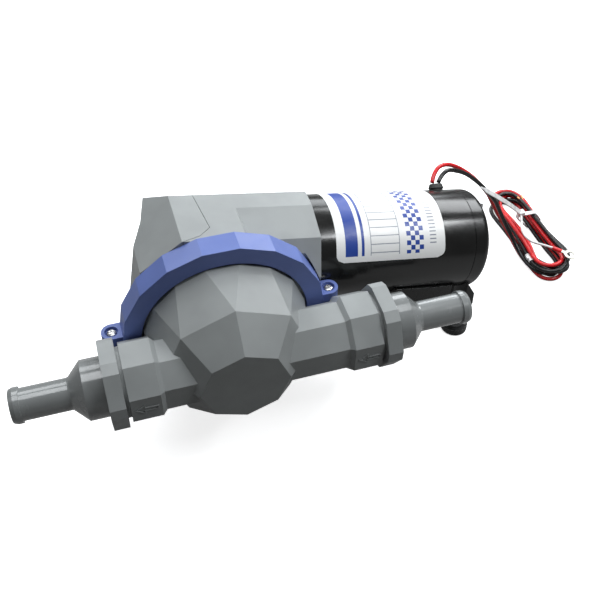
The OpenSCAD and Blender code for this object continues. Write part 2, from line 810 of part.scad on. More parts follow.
module drive_cavity() {
    at_crank() {
        bar(chamber_r, chamber_end - chamber_start, chamber_start);
        bar(journal_r + 4, crank_end + cut - chamber_end, chamber_end);
        bar(crank_bearing_r, crank_bearing_w + cut + 1, right_bearing_start);
        bar(journal_r + 4, 4, -seam_l - 1);
        bar(crank_bearing_r, crank_bearing_w + 1, left_bearing_start);
    }
    at_drive() {
        bar(pitch_pinion + addendum + 3, chamber_end - gear_start + 3, gear_start - 3);
        bar(motor_bearing_r + 1, bell_start - chamber_end + cut, chamber_end);
        bar(motor_r + socket_gap, adaptor_l - bell_start + cut, bell_start);
    }
    at_head() {
        bar(web_outer_r - 2, 12, -bead_back - 10);
        bar(plate_r + throw + 4, 12, -bead_back - 16);
        bar(big_end_r + 6, face_back + crank_y - bead_back - 12, -face_back - crank_y);
    }
}

module foot_plate() {
    // The left pair of feet under the housing, joined by a plate, with a pedestal up to the case
    hull() at_holes([-1]) bar(foot_r, foot_t, bush_proud);
    translate([-bolt_dx/2 - foot_r, -40, bush_proud]) cube([2*foot_r, 84, 46]);
}

module gear_housing() {
    color(grey_plastic) difference() {
        union() {
            difference() {
                union() {
                    case_body();
                    at_drive() translate([0, 0, 15]) linear_extrude(adaptor_l - 15) adaptor_section();
                    foot_plate();
                }
                at_head() bar(ring_r + 0.8, 60, -drum_depth);
            }
            at_head() bar(neck_out_r, drum_depth - bead_back + 2, -drum_depth - 2);
            at_head() bar(flange_r, seat_back - bead_back, -seat_back);
        }
        cover_zone(seam_gap);
        drive_cavity();
        at_holes([-1]) bar(bush_d/2, foot_access, -cut);
        at_holes([-1]) bar(bush_d/2 + 2, foot_access, foot_t + bush_proud);
    }
}

// Places of the cover screws on the left wall, in the drive frame
cover_screw_places = [[44, -40], [44, 6], [-18, -52]];

module gear_cover() {
    color(grey_plastic) difference() {
        intersection() {
            case_body();
            cover_zone(0);
        }
        drive_cavity();
        at_drive() for (p = cover_screw_places) translate([p[0], p[1], 0]) {
            bar(cover_screw_d/2 + fit_gap, left_l, -left_l);
            bar(cover_screw_d + 0.6, left_l - 34, -left_l - cut);
        }
    }
}

module cover_screws() {
    color(steel) at_drive() for (p = cover_screw_places) translate([p[0], p[1], -35 - cut]) rotate([180, 0, 0])
        pan_screw(cover_screw_d, 20, cover_screw_d, 2.6);
}

// Rubber bush in each foot, with a groove that the foot sits in
module foot_bushes() {
    color(black_rubber) at_holes() rotate_extrude() polygon([
        [bolt_d/2, 0], [bush_d/2 + 1.6, 0], [bush_d/2 + 1.6, bush_proud], [bush_d/2, bush_proud],
        [bush_d/2, bush_proud + foot_t], [bush_d/2 + 1.4, bush_proud + foot_t],
        [bush_d/2 + 0.8, 2*bush_proud + foot_t], [bolt_d/2, 2*bush_proud + foot_t]
    ]);
}

// Union nuts
module union_nut(side, turn) {
    corners = [
        for (k = [0 : 5], s = [-1, 1]) let (a = turn + 60*k + s*nut_chamfer/2) [-side*nut_r*cos(a), nut_r*sin(a)]
    ];
    color(grey_plastic) at_port(side) difference() {
        translate([0, 0, nut_gap]) linear_extrude(nut_w) polygon(side > 0 ? [for (k = [11 : -1 : 0]) corners[k]] : corners);
        bar(spigot_r + 0.1, nut_lip_start - nut_gap + cut, nut_gap - cut);
        bar(collar_r + 0.2, nut_w + 2*cut, nut_gap);
        translate([0, 0, nut_end - 1]) cylinder(r1 = collar_r + 0.1, r2 = collar_r + 1.4, h = 1 + eps);
    }
}

module inlet_union_nut() {
    union_nut(1, inlet_nut_turn);
}

module outlet_union_nut() {
    union_nut(-1, outlet_nut_turn);
}

// Hose tails: revolved about the port's axis
module hose_tail(side) {
    collar_end = nut_end + collar_l;
    tube_start = collar_end + cone_l;
    bead_start = tube_start + tube_l;
    nose_start = bead_start + tail_bead_l;
    tip = nose_start + nose_l;
    color(grey_plastic) at_port(side) rotate_extrude() polygon([
        [tail_bore_big, tail_flange_front], [spigot_r - 0.6, tail_flange_front],
        [spigot_r - 0.6, tail_flange_front + tail_flange_t], [collar_r, tail_flange_front + tail_flange_t],
        [collar_r, collar_end], [tail_r + 0.4, tube_start], [tail_r, tube_start + 1.2],
        [tail_r, bead_start], [tail_bead_r, bead_start], [tail_bead_r, nose_start],
        [tail_bead_r - 1, tip - 0.6], [tail_bead_r - 1.6, tip], [tail_bore_r + 0.6, tip], [tail_bore_r, tip - 0.8],
        [tail_bore_r, tube_start + 4], [tail_bore_big, collar_end - 2]
    ]);
}

module inlet_hose_tail() {
    hose_tail(1);
}

module outlet_hose_tail() {
    hose_tail(-1);
}

// Duckbill valves: a clamped flange, a round neck and two lips that close on a slit
module duckbill() {
    lip_l = valve_l*0.75;
    difference() {
        union() {
            bar(valve_flange_r, valve_flange_t, 0);
            hull() {
                bar(valve_r, valve_l - lip_l, 0);
                translate([-valve_r, -valve_wall, 0]) cube([2*valve_r, 2*valve_wall, valve_l]);
            }
        }
        hull() {
            bar(valve_r - valve_wall, valve_l - lip_l + cut, -cut);
            translate([-valve_r + valve_wall, -0.3, 0]) cube([2*(valve_r - valve_wall), 0.6, valve_l - 1.5]);
        }
        translate([-valve_r + valve_wall, -0.3, 0]) cube([2*(valve_r - valve_wall), 0.6, valve_l + cut]);
    }
}

module inlet_valve() {
    color(black_rubber) at_port(1) translate([0, 0, union_seat + valve_flange_t]) mirror([0, 0, 1]) duckbill();
}

module outlet_valve() {
    color(black_rubber) at_port(-1) translate([0, 0, union_seat]) duckbill();
}

// Motor
// The two through-bolts' axes, above and below the armature
module at_bolts() {
    for (side = [-1, 1]) translate([0, side*(can_in - 4), 0]) children();
}

module motor_can() {
    color(black_paint) at_drive() difference() {
        ring_tube(motor_r, can_in, can_end - can_start, can_start);
        rotate([0, 0, grommet_angle]) translate([0, 0, grommet_along]) rotate([0, 90, 0]) bar(grommet_r - 1, motor_r + 10, 0);
        at_cradle_screws() bar(cradle_screw_d/2, 20, -20);
    }
}

module motor_front_plate() {
    color(steel) at_drive() difference() {
        union() {
            bar(motor_r, can_start - bell_start, bell_start);
            bar(can_in - fit_gap, 4, can_start - eps);
        }
        bar(motor_bearing_r, motor_bearing_w, bell_start - eps);
        bar(shaft_r + 2, 20, bell_start - cut);
        ring_tube(can_in - 4, motor_bearing_r + 4, 5, can_start - 1);
        at_bolts() bar(bolt_r + part_gap, 40, bell_start - cut);
    }
}

module motor_end_cap() {
    cap_start = can_end + 0.5;
    cap_end = can_end + cap_l;
    color(black_paint) at_drive() difference() {
        union() {
            rotate_extrude() polygon(concat(
                [[0, cap_start], [motor_r, cap_start]],
                [for (a = [0 : 15 : 90]) [motor_r - cap_round + cap_round*cos(a), cap_end - cap_round + cap_round*sin(a)]],
                [[0, cap_end]]
            ));
            ring_tube(can_in - fit_gap, can_in - 3, 4, cap_start - 3.5);
        }
        ring_tube(can_in - 4, motor_bearing_r + 4, cap_l - 5, cap_start - cut);
        bar(motor_bearing_r, motor_bearing_w + tail_bearing_start - cap_start + cut, cap_start - cut);
        at_bolts() bar(bolt_r + part_gap, cap_l + 6, cap_start - 5);
    }
}

module motor_bearings() {
    color(steel) at_drive() {
        bearing(shaft_r + fit_gap, motor_bearing_r, motor_bearing_w, bell_start);
        bearing(shaft_r + fit_gap, motor_bearing_r, motor_bearing_w, tail_bearing_start);
    }
}

front_space = 32;
back_space = 40;
core_start = can_start + front_space;
core_end = can_end - back_space;

module field_magnets() {
    color(black_rubber) at_drive() for (side = [0, 180]) rotate([0, 0, side - 65]) translate([0, 0, core_start - 2])
        rotate_extrude(angle = 130) translate([magnet_r, 0]) square([can_in - magnet_r, core_end - core_start + 4]);
}

module armature_core() {
    slot_w = 6;
    color(steel) at_drive() translate([0, 0, core_start]) linear_extrude(core_end - core_start) difference() {
        circle(r = core_r);
        circle(r = shaft_r);
        for (k = [0 : core_slots - 1]) rotate(360*k/core_slots) {
            translate([core_r*0.55, -slot_w/2]) square([core_r*0.35, slot_w]);
            translate([core_r*0.8, -1.2]) square([core_r*0.4, 2.4]);
        }
    }
}

module armature_windings() {
    turn_l = 12;
    color(copper) at_drive() {
        for (z = [core_start - turn_l, core_end]) translate([0, 0, z]) rotate_extrude() polygon([
            [shaft_r + 5, 1], [core_r*0.6, 0], [core_r*0.86, 2], [core_r*0.9, turn_l/2], [core_r*0.86, turn_l - 2],
            [core_r*0.6, turn_l], [shaft_r + 5, turn_l - 1]
        ]);
        for (k = [0 : core_slots - 1]) rotate([0, 0, 360*k/core_slots])
            translate([core_r*0.57, -2.4, core_start - eps]) cube([core_r*0.31, 4.8, core_end - core_start + 2*eps]);
    }
}

commutator_start = core_end + 15;
commutator_l = 14;

module commutator() {
    color(copper) at_drive() translate([0, 0, commutator_start]) linear_extrude(commutator_l) difference() {
        circle(r = commutator_r);
        circle(r = shaft_r);
        for (k = [0 : commutator_bars - 1]) rotate(360*k/commutator_bars)
            translate([commutator_r - 2, -0.35]) square([3, 0.7]);
    }
}

module motor_shaft() {
    color(steel) at_drive() bar(shaft_r, shaft_end - gear_start + 1, gear_start - 1);
}

module pinion() {
    color(steel) at_drive() difference() {
        translate([0, 0, gear_start - 0.5]) linear_extrude(gear_w + 1) rotate([0, 0, mesh_angle + 180 + 180/pinion_teeth])
            polygon(gear_outline(pinion_teeth, backlash));
        bar(shaft_r, gear_w + 4, gear_start - 2);
    }
}

brush_plate_start = commutator_start + commutator_l + 1;

module brush_plate() {
    color(black_plastic) at_drive() difference() {
        union() {
            ring_tube(can_in - 0.5, commutator_r + 3, 2.5, brush_plate_start);
            for (a = [0, 180]) rotate([0, 0, a + 45]) translate([commutator_r + 2.5, -6, brush_plate_start - 12])
                cube([14, 12, 12 + eps]);
        }
        for (a = [0, 180]) rotate([0, 0, a + 45]) translate([commutator_r, -4.1, brush_plate_start - 11]) cube([13, 8.2, 9.2]);
        at_bolts() bar(bolt_r + part_gap, 20, brush_plate_start - 10);
    }
}

module brushes() {
    color(black_rubber) at_drive() for (a = [0, 180]) rotate([0, 0, a + 45]) difference() {
        translate([commutator_r - 1, -4, brush_plate_start - 10.9]) cube([12, 8, 9]);
        bar(commutator_r + 0.1, commutator_l + 20, commutator_start - 10);
    }
}

module through_bolts() {
    bolt_end = can_end + cap_l;
    color(steel) at_drive() at_bolts() {
        bar(bolt_r, bolt_end - bell_start - 1, bell_start + 1);
        translate([0, 0, bolt_end - eps]) cylinder(r = 3.6, h = 2.6, $fn = 6);
    }
}

// Cradle: a saddle moulded to the can, on two side walls with a foot at each side
// Its screws' axes, z pointing down and out of the can
module at_cradle_screws() {
    for (z = [cradle_along - 56, cradle_along - 20]) translate([0, -cradle_floor, z]) rotate([90, 0, 0]) children();
}

// Outline of the cradle seen from the motor's end
module cradle_section() {
    difference() {
        polygon([
            [-cradle_half, -17], [-cradle_half, -110], [cradle_half, -110], [cradle_half, -17]
        ]);
        polygon([
            [-cradle_in, -cradle_floor - 6], [6 - cradle_in, -cradle_floor], [cradle_in - 6, -cradle_floor],
            [cradle_in, -cradle_floor - 6], [cradle_in, -120], [-cradle_in, -120]
        ]);
    }
}

// Outline of the cradle seen from the front, with the chamfered right corner and the arches beside the foot
module cradle_side() {
    right = cradle_along + cradle_right;
    difference() {
        polygon([
            [cradle_along - cradle_left, 0], [cradle_along - cradle_left, -120], [right, -120], [right, 3.5 - motor_r],
            [right - 3, 15.5 - motor_r], [right - 10, 23.5 - motor_r], [right - 18, 29.5 - motor_r], [right - 20, 0]
        ]);
        translate([cradle_along - 34, -96]) circle(r = 18);
    }
}

module motor_cradle() {
    color(black_plastic) difference() {
        union() {
            intersection() {
                at_drive() linear_extrude(400) cradle_section();
                at_front() translate([0, 0, -100]) linear_extrude(200) cradle_side();
                translate([0, -100, bush_proud]) cube([400, 200, 200]);
            }
            for (side = [-1, 1]) translate([bolt_dx/2, 0, bush_proud]) {
                translate([0, side*bolt_dy/2, 0]) cylinder(r = foot_r, h = foot_t);
                translate([-foot_r, min(side*cradle_in, side*bolt_dy/2), 0]) cube([2*foot_r, bolt_dy/2 - cradle_in, foot_t]);
            }
        }
        at_drive() bar(motor_r + part_gap, 400, 0);
        at_holes([1]) bar(bush_d/2, foot_access, -cut);
        at_holes([1]) bar(foot_r - 3, foot_access, foot_t + bush_proud);
        at_drive() at_cradle_screws() bar(cradle_screw_d/2 + part_gap, 40, -20);
    }
}

module cradle_screws() {
    reach = cradle_floor - can_in - 0.5;
    color(steel) at_drive() at_cradle_screws() pan_screw(cradle_screw_d, reach, 4.5, 3);
}

// Leads
module lead_grommet() {
    color(black_rubber) at_drive() rotate([0, 0, grommet_angle]) translate([0, 0, grommet_along]) rotate([0, 90, 0])
        rotate_extrude() polygon([
            [0, can_in - part_gap], [grommet_r - 1 - fit_gap, can_in - part_gap], [grommet_r - 1 - fit_gap, motor_r + 0.6],
            [grommet_r, motor_r + 1.4], [grommet_r - 1.4, grommet_out], [0, grommet_out]
        ]);
}

module red_lead() {
    color(red_wire) swept_tube(smooth_route(red_route, 2), lead_d/2);
}

module black_lead() {
    color(black_rubber) swept_tube(smooth_route(black_route, 2), lead_d/2);
}

module lead_hank() {
    r = hank_w/2;
    color(black_rubber) translate([hank_x, hank_y, 0]) linear_extrude(hank_h) union() {
        translate([-r, -hank_l/2 + r]) square([hank_w, hank_l - hank_w]);
        for (s = [-1, 1]) translate([0, s*(hank_l/2 - r)]) circle(r = r);
    }
}

// A strap over the right half of the hank, its head and its stiff tail
module hank_tie() {
    right = hank_x + hank_w/2;
    color(white_nylon) {
        translate([tie_head_x, tie_y - tie_w/2, hank_h]) cube([right + tie_t - tie_head_x, tie_w, tie_t]);
        translate([right, tie_y - tie_w/2, 0]) cube([tie_t, tie_w, hank_h + eps]);
        translate([tie_head_x - tie_head[0]/2, tie_y - tie_head[1]/2, hank_h]) cube(tie_head);
        translate([tie_head_x, tie_y, hank_h + tie_head[2]/2]) rotate([tail_roll, -tail_rise, tail_turn])
            translate([0, -tie_w/2, -tie_t/2]) cube([tail_l, tie_w, tie_t]);
    }
}

module marker_tie() {
    color(white_nylon) translate([hank_x - hank_w/2 - tie_t, marker_y, marker_z]) cube([tie_t, marker[0], marker[1]]);
}

module thin_lead() {
    color(white_nylon) swept_tube(smooth_route(thin_route, 2), thin_lead_d/2);
}

module terminal_sleeve() {
    color(red_wire) translate(terminal_at) rotate([0, 0, terminal_angle]) rotate([0, 90, 0]) bar(2, sleeve_l, 0);
}

module ring_terminal() {
    pad_t = 1;
    color(steel) translate(terminal_at) rotate([0, 0, terminal_angle]) difference() {
        union() {
            translate([eye_reach, 0, -pad_t/2]) cylinder(r = eye_r + 3, h = pad_t);
            translate([sleeve_l, -2, -pad_t/2]) cube([eye_reach - sleeve_l - eye_r, 4, pad_t]);
        }
        translate([eye_reach, 0, -cut]) cylinder(r = eye_r, h = 2*cut);
    }
}

pump_head();
clamp_ring_upper();
clamp_ring_lower();
clamp_screws();
diaphragm();
inlet_valve();
outlet_valve();
inlet_hose_tail();
outlet_hose_tail();
inlet_union_nut();
outlet_union_nut();
gear_housing();
gear_cover();
cover_screws();
foot_bushes();
connecting_rod();
rod_bearing();
diaphragm_front_plate();
diaphragm_rear_plate();
diaphragm_screw();
crankshaft();
crank_gear();
crank_bearings();
motor_shaft();
pinion();
armature_core();
armature_windings();
commutator();
motor_can();
motor_front_plate();
motor_end_cap();
motor_bearings();
field_magnets();
brush_plate();
brushes();
through_bolts();
motor_cradle();
cradle_screws();
lead_grommet();
red_lead();
black_lead();
lead_hank();
hank_tie();
marker_tie();
thin_lead();
terminal_sleeve();
ring_terminal();
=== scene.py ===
import bpy
import numpy as np
from bpy.props import FloatProperty, FloatVectorProperty, IntProperty, PointerProperty
from bpy.types import Operator, Panel, PropertyGroup
from mathutils import Matrix


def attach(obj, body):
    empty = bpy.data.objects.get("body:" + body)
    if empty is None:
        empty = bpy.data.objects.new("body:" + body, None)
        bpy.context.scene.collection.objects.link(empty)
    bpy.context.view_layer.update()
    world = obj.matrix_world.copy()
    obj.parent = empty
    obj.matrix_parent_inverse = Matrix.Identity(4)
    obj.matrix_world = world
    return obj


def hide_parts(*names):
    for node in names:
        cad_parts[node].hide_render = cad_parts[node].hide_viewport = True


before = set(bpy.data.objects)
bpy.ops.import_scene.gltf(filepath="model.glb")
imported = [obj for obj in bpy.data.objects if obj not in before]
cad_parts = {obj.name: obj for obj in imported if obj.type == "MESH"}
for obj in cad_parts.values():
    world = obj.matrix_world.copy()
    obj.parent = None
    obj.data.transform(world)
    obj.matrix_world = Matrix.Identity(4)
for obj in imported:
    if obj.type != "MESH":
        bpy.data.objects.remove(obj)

bl_info = {
    "name": "Diaphragm Pump Looks",
    "version": (1, 0, 0),
    "blender": (4, 5, 0),
    "location": "3D View > Sidebar > Pump",
    "description": "Finishes, leads, ties, label and stage of a motor-driven diaphragm pump",
    "category": "Object",
}

MM = 0.001
BODY = "pump_body"

# The drive's place in the row frame, in millimetres, and its tilt in degrees
HEAD_X = -131.0
MOTOR_Z = 108.6
TILT = 10.4
CAN_RADIUS = 44.5

# Routes of the leads from the grommet to the hank, in millimetres
BLACK_ROUTE = (
    (91.7, 36, 104.8), (96, 40, 108), (104, 45, 109), (114, 48, 104.5), (127, 50, 96.5), (141, 50, 84),
    (153, 49, 71), (164, 48, 57), (173, 47, 43), (179, 45, 32), (182.5, 43, 22), (185.6, 41, 12),
)
RED_ROUTE = (
    (86, 37, 105), (90, 43, 109), (98, 50, 111), (109, 54, 108), (122, 56, 100), (136, 57, 88),
    (148, 58, 75), (159, 58, 61), (169, 58, 47), (177, 58, 34), (182, 58, 23), (185.6, 58, 12),
)
THIN_ROUTE = (
    (204, 54.5, 22), (201, 48, 22), (197, 40, 22), (194.6, 33, 22), (194, 26, 22),
    (196, 18, 22), (200, 13.6, 22), (204.4, 9.9, 22), (208.4, 6.3, 22), (212, 3, 22),
)

# Outline of the hank, in millimetres
HANK_X = 209.0
HANK_Y = 44.0
HANK_HALF_WIDTH = 21.0
HANK_HALF_LENGTH = 69.0
HANK_HEIGHT = 20.0

# Winding of the pair: the oval of its middle line, and what may be added to it every half turn
WOUND_HALF_WIDTH = 13.4
WOUND_HALF_LENGTH = 61.5
WOUND_SLENDER = 4.2
WOUND_START = 0.04
WOUND_WAIST = 0.12
WIDTH_CHANGE = (-1.0, 2.0)
LEAN_CHANGE = (-4.5, 4.5)
SHIFT_CHANGE = (-3.0, 3.0)
LENGTH_CHANGE = (-5.0, 3.0)
LOWEST_TURN = 4.6
CLIMB = 4.4
PAIR_HALF_GAP = 2.3
PAIR_TWIST = 0.9
POINTS_A_TURN = 80

# Entry into the hank: route points kept, two places on the way (x, y past the route, z), point joined
ROUTE_KEPT = 9
ENTRY = ((186.5, 14, 19), (190.5, 27, 12))
ENTRY_JOIN = 18

# Settling of the leads: lengths in millimetres, shares of a move, and numbers of rounds
LEAD_STEP = 4.0
LEAD_SPARE = 0.55
FLOOR_SPARE = 0.1
STRAP_SPARE = 0.3
STRAP_SPREAD = 10
TIGHTEST_BEND = 15.0
CLOSE_BY = 5
SINKING = 0.015
LATE_SINKING = 0.003
LATE_SHARE = 0.8
EASED_STRAIGHT = 0.01
EASED_FAIR = 0.25
OPENED_SHARE = 0.4
DRAWN_SHARE = 0.3
RADII_OF_OWN_STRAND = 7
ROUNDS = 500
QUICK_ROUNDS = 100
ROUNDS_A_SEARCH = 10
TIGHTENINGS = 4

# Surfaces of the leads: spacing of their rings in millimetres, and sides
LEAD_SPACING = 1.6
LEAD_SIDES = 14
THIN_SPACING = 0.8
THIN_SIDES = 12

# Cable tie round the right-hand strands
TIE_Y = 59.0
TIE_HEAD_X = 206.0
TIE_HEAD = (7.0, 6.5, 4.5)
TIE_WIDTH = 4.8
TIE_THICK = 1.2
TIE_CORNER = 0.35
TAIL_LENGTH = 94.0
TAIL_ANGLES = (196.6, 42.5, -50.0)
TAIL_BOW = 1.6
TAIL_POINT = 9.0
TOOTH_PITCH = 1.4
TOOTH_HEIGHT = 0.16
TOOTHLESS_END = 10

# White band on the outermost black strand
MARKER_Y = 6.7
MARKER_WALL = 0.5
MARKER_LATCH = (2.6, 4.0, 2.8)
LATCH_SIDE = (-0.75, -0.2, 0.62)
LATCH_LIFT = 1.2

# Stripped end of a lead
BARE_LENGTH = 7.0
BARE_BURIED = 2.0

# Film and print of the label, in millimetres from its left and its lower edge, and its grey ink
FILM_LIFT = 0.12
PRINT_MARGIN = 5.0
WIDE_BAR = (8.0, 19.0)
THIN_BAR = (22.5, 25.0)
PANEL = (31.0, 57.0)
PANEL_LEFT_LINE = (30.6, 31.2)
PANEL_RIGHT_LINE = (56.8, 57.4)
PANEL_PITCH = 7.0
TILES = (64.0, 80.0)
TILE_PITCH = 8.0
NOTES = (86.0, 92.0)
NOTES_MARGIN = 12.0
NOTES_PITCH = 3.2
PRINT_GREY = (0.22, 0.24, 0.30)

# Camera: lens and sensor in millimetres, the rest in metres
CAMERA_LENS = 50.91
CAMERA_SENSOR = 36.0
CAMERA_RIGHT = (0.9563, -0.2920, 0.0168)
CAMERA_UP = (0.2016, 0.6995, 0.6856)
CAMERA_BACK = (-0.2119, -0.6523, 0.7278)
CAMERA_PLACE = (-0.2137, -0.5055, 0.5911)

# Lamps: place and size in metres, power in watts; all of them face one point
LAMP_AIM = (-0.05, 0.0, 0.05)
COOL_WHITE = (0.95, 0.98, 1.0)
LAMPS = (
    ("lamp_above", (-0.05, 0.05, 1.2), (0.9, 0.6), 7.8, COOL_WHITE),
    ("lamp_behind", (0.2, 0.9, 0.5), (0.9, 0.4), 4.7, (0.93, 0.97, 1.0)),
    ("lamp_right", (0.75, 0.5, 0.75), (0.6, 0.4), 5.8, COOL_WHITE),
    ("lamp_left", (-0.5, 0.7, 1.0), (0.7, 0.5), 4.2, COOL_WHITE),
    ("lamp_front", (0.66, -0.36, 0.92), (0.5, 0.11), 4.6, COOL_WHITE),
    ("lamp_low", (-1.1, 0.1, 0.5), (0.4, 0.6), 0.7, COOL_WHITE),
)

# Surroundings: their faint light, and how much of the white behind the pump its glossy finishes mirror
SKY = (0.93, 0.96, 1.0, 1.0)
SKY_STRENGTH = 0.02
MIRRORED_SHARE = 0.14

# Floor: half its side and its depth in millimetres, its colours, and its glow from near to far in metres
FLOOR_HALF = 3000
FLOOR_DEPTH = 0.4
PAPER = (0.93, 0.93, 0.93, 1.0)
PAPER_BOUNCE = (0.15, 0.147, 0.143, 1.0)
PAPER_GLOW = (0.8, 1.0)
GLOW_DISTANCE = (0.3, 1.2)

GREY_NODES = ("pump_head", "inlet_union_nut", "outlet_union_nut", "gear_housing", "gear_cover")
# The hose tails take a darker copy of the grey plastic: painted shade for the darker sides of their glossy
# tubes
TAIL_NODES_PAINTED_SHADE = ("inlet_hose_tail", "outlet_hose_tail")
BLUE_NODES = ("clamp_ring_upper", "clamp_ring_lower")
PAINT_NODES = ("motor_can", "motor_end_cap")
GLOSS_NODES = ("motor_cradle", "brush_plate")
RUBBER_NODES = (
    "diaphragm", "inlet_valve", "outlet_valve", "foot_bushes", "lead_grommet", "lead_hank", "black_lead",
)
STEEL_NODES = (
    "clamp_screws", "cover_screws", "cradle_screws", "through_bolts", "diaphragm_screw",
    "diaphragm_front_plate", "diaphragm_rear_plate", "motor_front_plate", "connecting_rod",
    "rod_bearing", "crankshaft", "crank_gear", "crank_bearings", "motor_shaft", "pinion",
    "motor_bearings", "armature_core",
)
TIN_NODES = ("ring_terminal",)
COPPER_NODES = ("armature_windings", "commutator")
MAGNET_NODES = ("field_magnets", "brushes")
NYLON_NODES = ("hank_tie", "marker_tie", "thin_lead")
RED_NODES = ("red_lead", "terminal_sleeve")


def colour(name, default, about):
    """A colour property with three channels."""
    return FloatVectorProperty(
        name=name, description=about, subtype="COLOR", size=3, min=0.0, max=1.0, default=default
    )


def length(name, default, about):
    """A length property in millimetres."""
    return FloatProperty(
        name=name, description=about + ", in millimetres", default=default, min=0.0, soft_max=500.0,
        precision=2,
    )


def number(name, default, about, **limits):
    """A property for an angle in degrees or for a count of turns."""
    return FloatProperty(name=name, description=about, default=default, **limits)


class PumpColours(PropertyGroup):
    """Colours of the pump's finishes."""

    grey: colour("Grey plastic", (0.310, 0.325, 0.325), "Moulded head, nuts, tails and gear housing")
    blue: colour("Blue plastic", (0.140, 0.195, 0.480), "Moulded clamp ring")
    black: colour("Black", (0.007, 0.007, 0.0068), "Painted can and cradle")
    red: colour("Red", (0.72, 0.015, 0.020), "Red lead and sleeve")
    white: colour("White", (0.92, 0.92, 0.91), "Nylon ties, thin lead and label")
    label_blue: colour("Label blue", (0.020, 0.060, 0.330), "Printed parts of the label")
    steel: colour("Steel", (0.66, 0.66, 0.67), "Screws, shafts and gears")
    copper: colour("Copper", (0.72, 0.33, 0.16), "Windings, commutator and bare ends")


class PumpSizes(PropertyGroup):
    """Sizes of the pieces made here."""

    lead: length("Lead diameter", 4.0, "Outer diameter of the red and black leads")
    thin: length("Thin lead diameter", 2.4, "Outer diameter of the thin white lead")
    label_start: length("Label start", 97.0, "Distance of the label's left edge from the dome's axis")
    label_end: length("Label end", 197.5, "Distance of the label's right edge from the dome's axis")
    label_low: number("Label low", 22.0, "Lower edge of the label, in degrees above the front")
    label_high: number("Label high", 166.0, "Upper edge of the label, in degrees above the front")
    label_corner: length("Label corner", 7.0, "Radius of the label's corners")
    turns: number("Turns", 3.6, "Turns that each lead makes round the hank", min=1.0, max=5.0)
    seed: IntProperty(
        name="Seed", description="Start of the random winding of the hank", default=5, min=0
    )


# Shapes


def drive_points(along, away, up):
    """Points of the drive frame, in millimetres, tilted about the dome's axis into the row frame."""
    c, s = np.cos(np.radians(TILT)), np.sin(np.radians(TILT))
    along, away, up = np.broadcast_arrays(along, away, up)
    return np.stack([HEAD_X + along * c + up * s, away, MOTOR_Z - along * s + up * c], axis=-1)


def smooth_curve(points, steps):
    """A curve through the points: each span is a cubic, its end slopes half the chord between neighbours."""
    p = np.asarray(points, float)
    padded = np.vstack([2 * p[0] - p[1], p, 2 * p[-1] - p[-2]])
    u = np.linspace(0, len(p) - 1, (len(p) - 1) * steps + 1)
    i = np.minimum(u.astype(int), len(p) - 2)
    f = (u - i)[:, None]
    a, b, c, d = (padded[i + k] for k in range(4))
    return 0.5 * (2 * b + (c - a) * f + (2 * a - 5 * b + 4 * c - d) * f**2 + (3 * b - a - 3 * c + d) * f**3)


def even_spacing(points, step):
    """The same line with its points evenly spaced by arc length."""
    gaps = np.linalg.norm(np.diff(points, axis=0), axis=1)
    s = np.concatenate([[0], np.cumsum(gaps)])
    count = max(2, int(round(s[-1] / step)) + 1)
    t = np.linspace(0, s[-1], count)
    return np.stack([np.interp(t, s, points[:, k]) for k in range(3)], axis=1)


def line_length(points):
    """Length of a line through its points."""
    return float(np.linalg.norm(np.diff(points, axis=0), axis=1).sum())


def path_frames(path, up=(0.13, 0.21, 0.97), closed=False):
    """Side (tangent crossed with a fixed direction) and normal (side crossed with tangent) at each point."""
    if closed:
        tangent = np.roll(path, -1, axis=0) - np.roll(path, 1, axis=0)
    else:
        tangent = np.gradient(path, axis=0)
    tangent /= np.linalg.norm(tangent, axis=1, keepdims=True)
    side = np.cross(tangent, np.asarray(up, float))
    side /= np.linalg.norm(side, axis=1, keepdims=True)
    return side, np.cross(side, tangent)


def sweep(path, profile, up=(0.13, 0.21, 0.97), closed=False):
    """A grid of points: at each point of the path, side and normal times the profile's two coordinates."""
    side, normal = path_frames(path, up, closed)
    profile = np.asarray(profile, float)
    offset = side[:, None, :] * profile[None, :, 0:1] + normal[:, None, :] * profile[None, :, 1:2]
    return path[:, None, :] + offset


def circle(radius, sides):
    """Points of a circle, evenly turned."""
    a = np.linspace(0, 2 * np.pi, sides, endpoint=False)
    return np.stack([radius * np.cos(a), radius * np.sin(a)], axis=1)


def rounded_box(width, height, corner, steps):
    """Outline of a rectangle whose corners are quarter circles."""
    a = np.linspace(0, np.pi / 2, steps)
    quarters = []
    for k, (sx, sy) in enumerate(((1, 1), (-1, 1), (-1, -1), (1, -1))):
        centre = np.array([sx * (width / 2 - corner), sy * (height / 2 - corner)])
        turn = a + k * np.pi / 2
        quarters.append(centre + corner * np.stack([np.cos(turn), np.sin(turn)], axis=1))
    return np.vstack(quarters)


def block(centre, size):
    """A box with rounded upright edges: six rings of one rounded outline, drawn in near both ends."""
    outline = rounded_box(size[0], size[1], 1.0, 5)
    levels = np.array([0.0, 0.3, 1.0, size[2] - 0.8, size[2] - 0.25, size[2]]) - size[2] / 2
    shrink = np.array([0.94, 1.0, 1.0, 1.0, 0.95, 0.86])
    rings = [np.column_stack([outline * k, np.full(len(outline), z)]) for k, z in zip(shrink, levels)]
    return np.stack(rings) + centre, False, True, True


def grid_faces(rows, cols, close_rows, close_cols):
    """Quads of a grid, row by row, with either direction closed on itself."""
    r = np.arange(rows if close_rows else rows - 1)
    c = np.arange(cols if close_cols else cols - 1)
    i, j = np.meshgrid(r, c, indexing="ij")
    i2, j2 = (i + 1) % rows, (j + 1) % cols
    return np.stack([i * cols + j, i * cols + j2, i2 * cols + j2, i2 * cols + j], axis=-1).reshape(-1, 4)


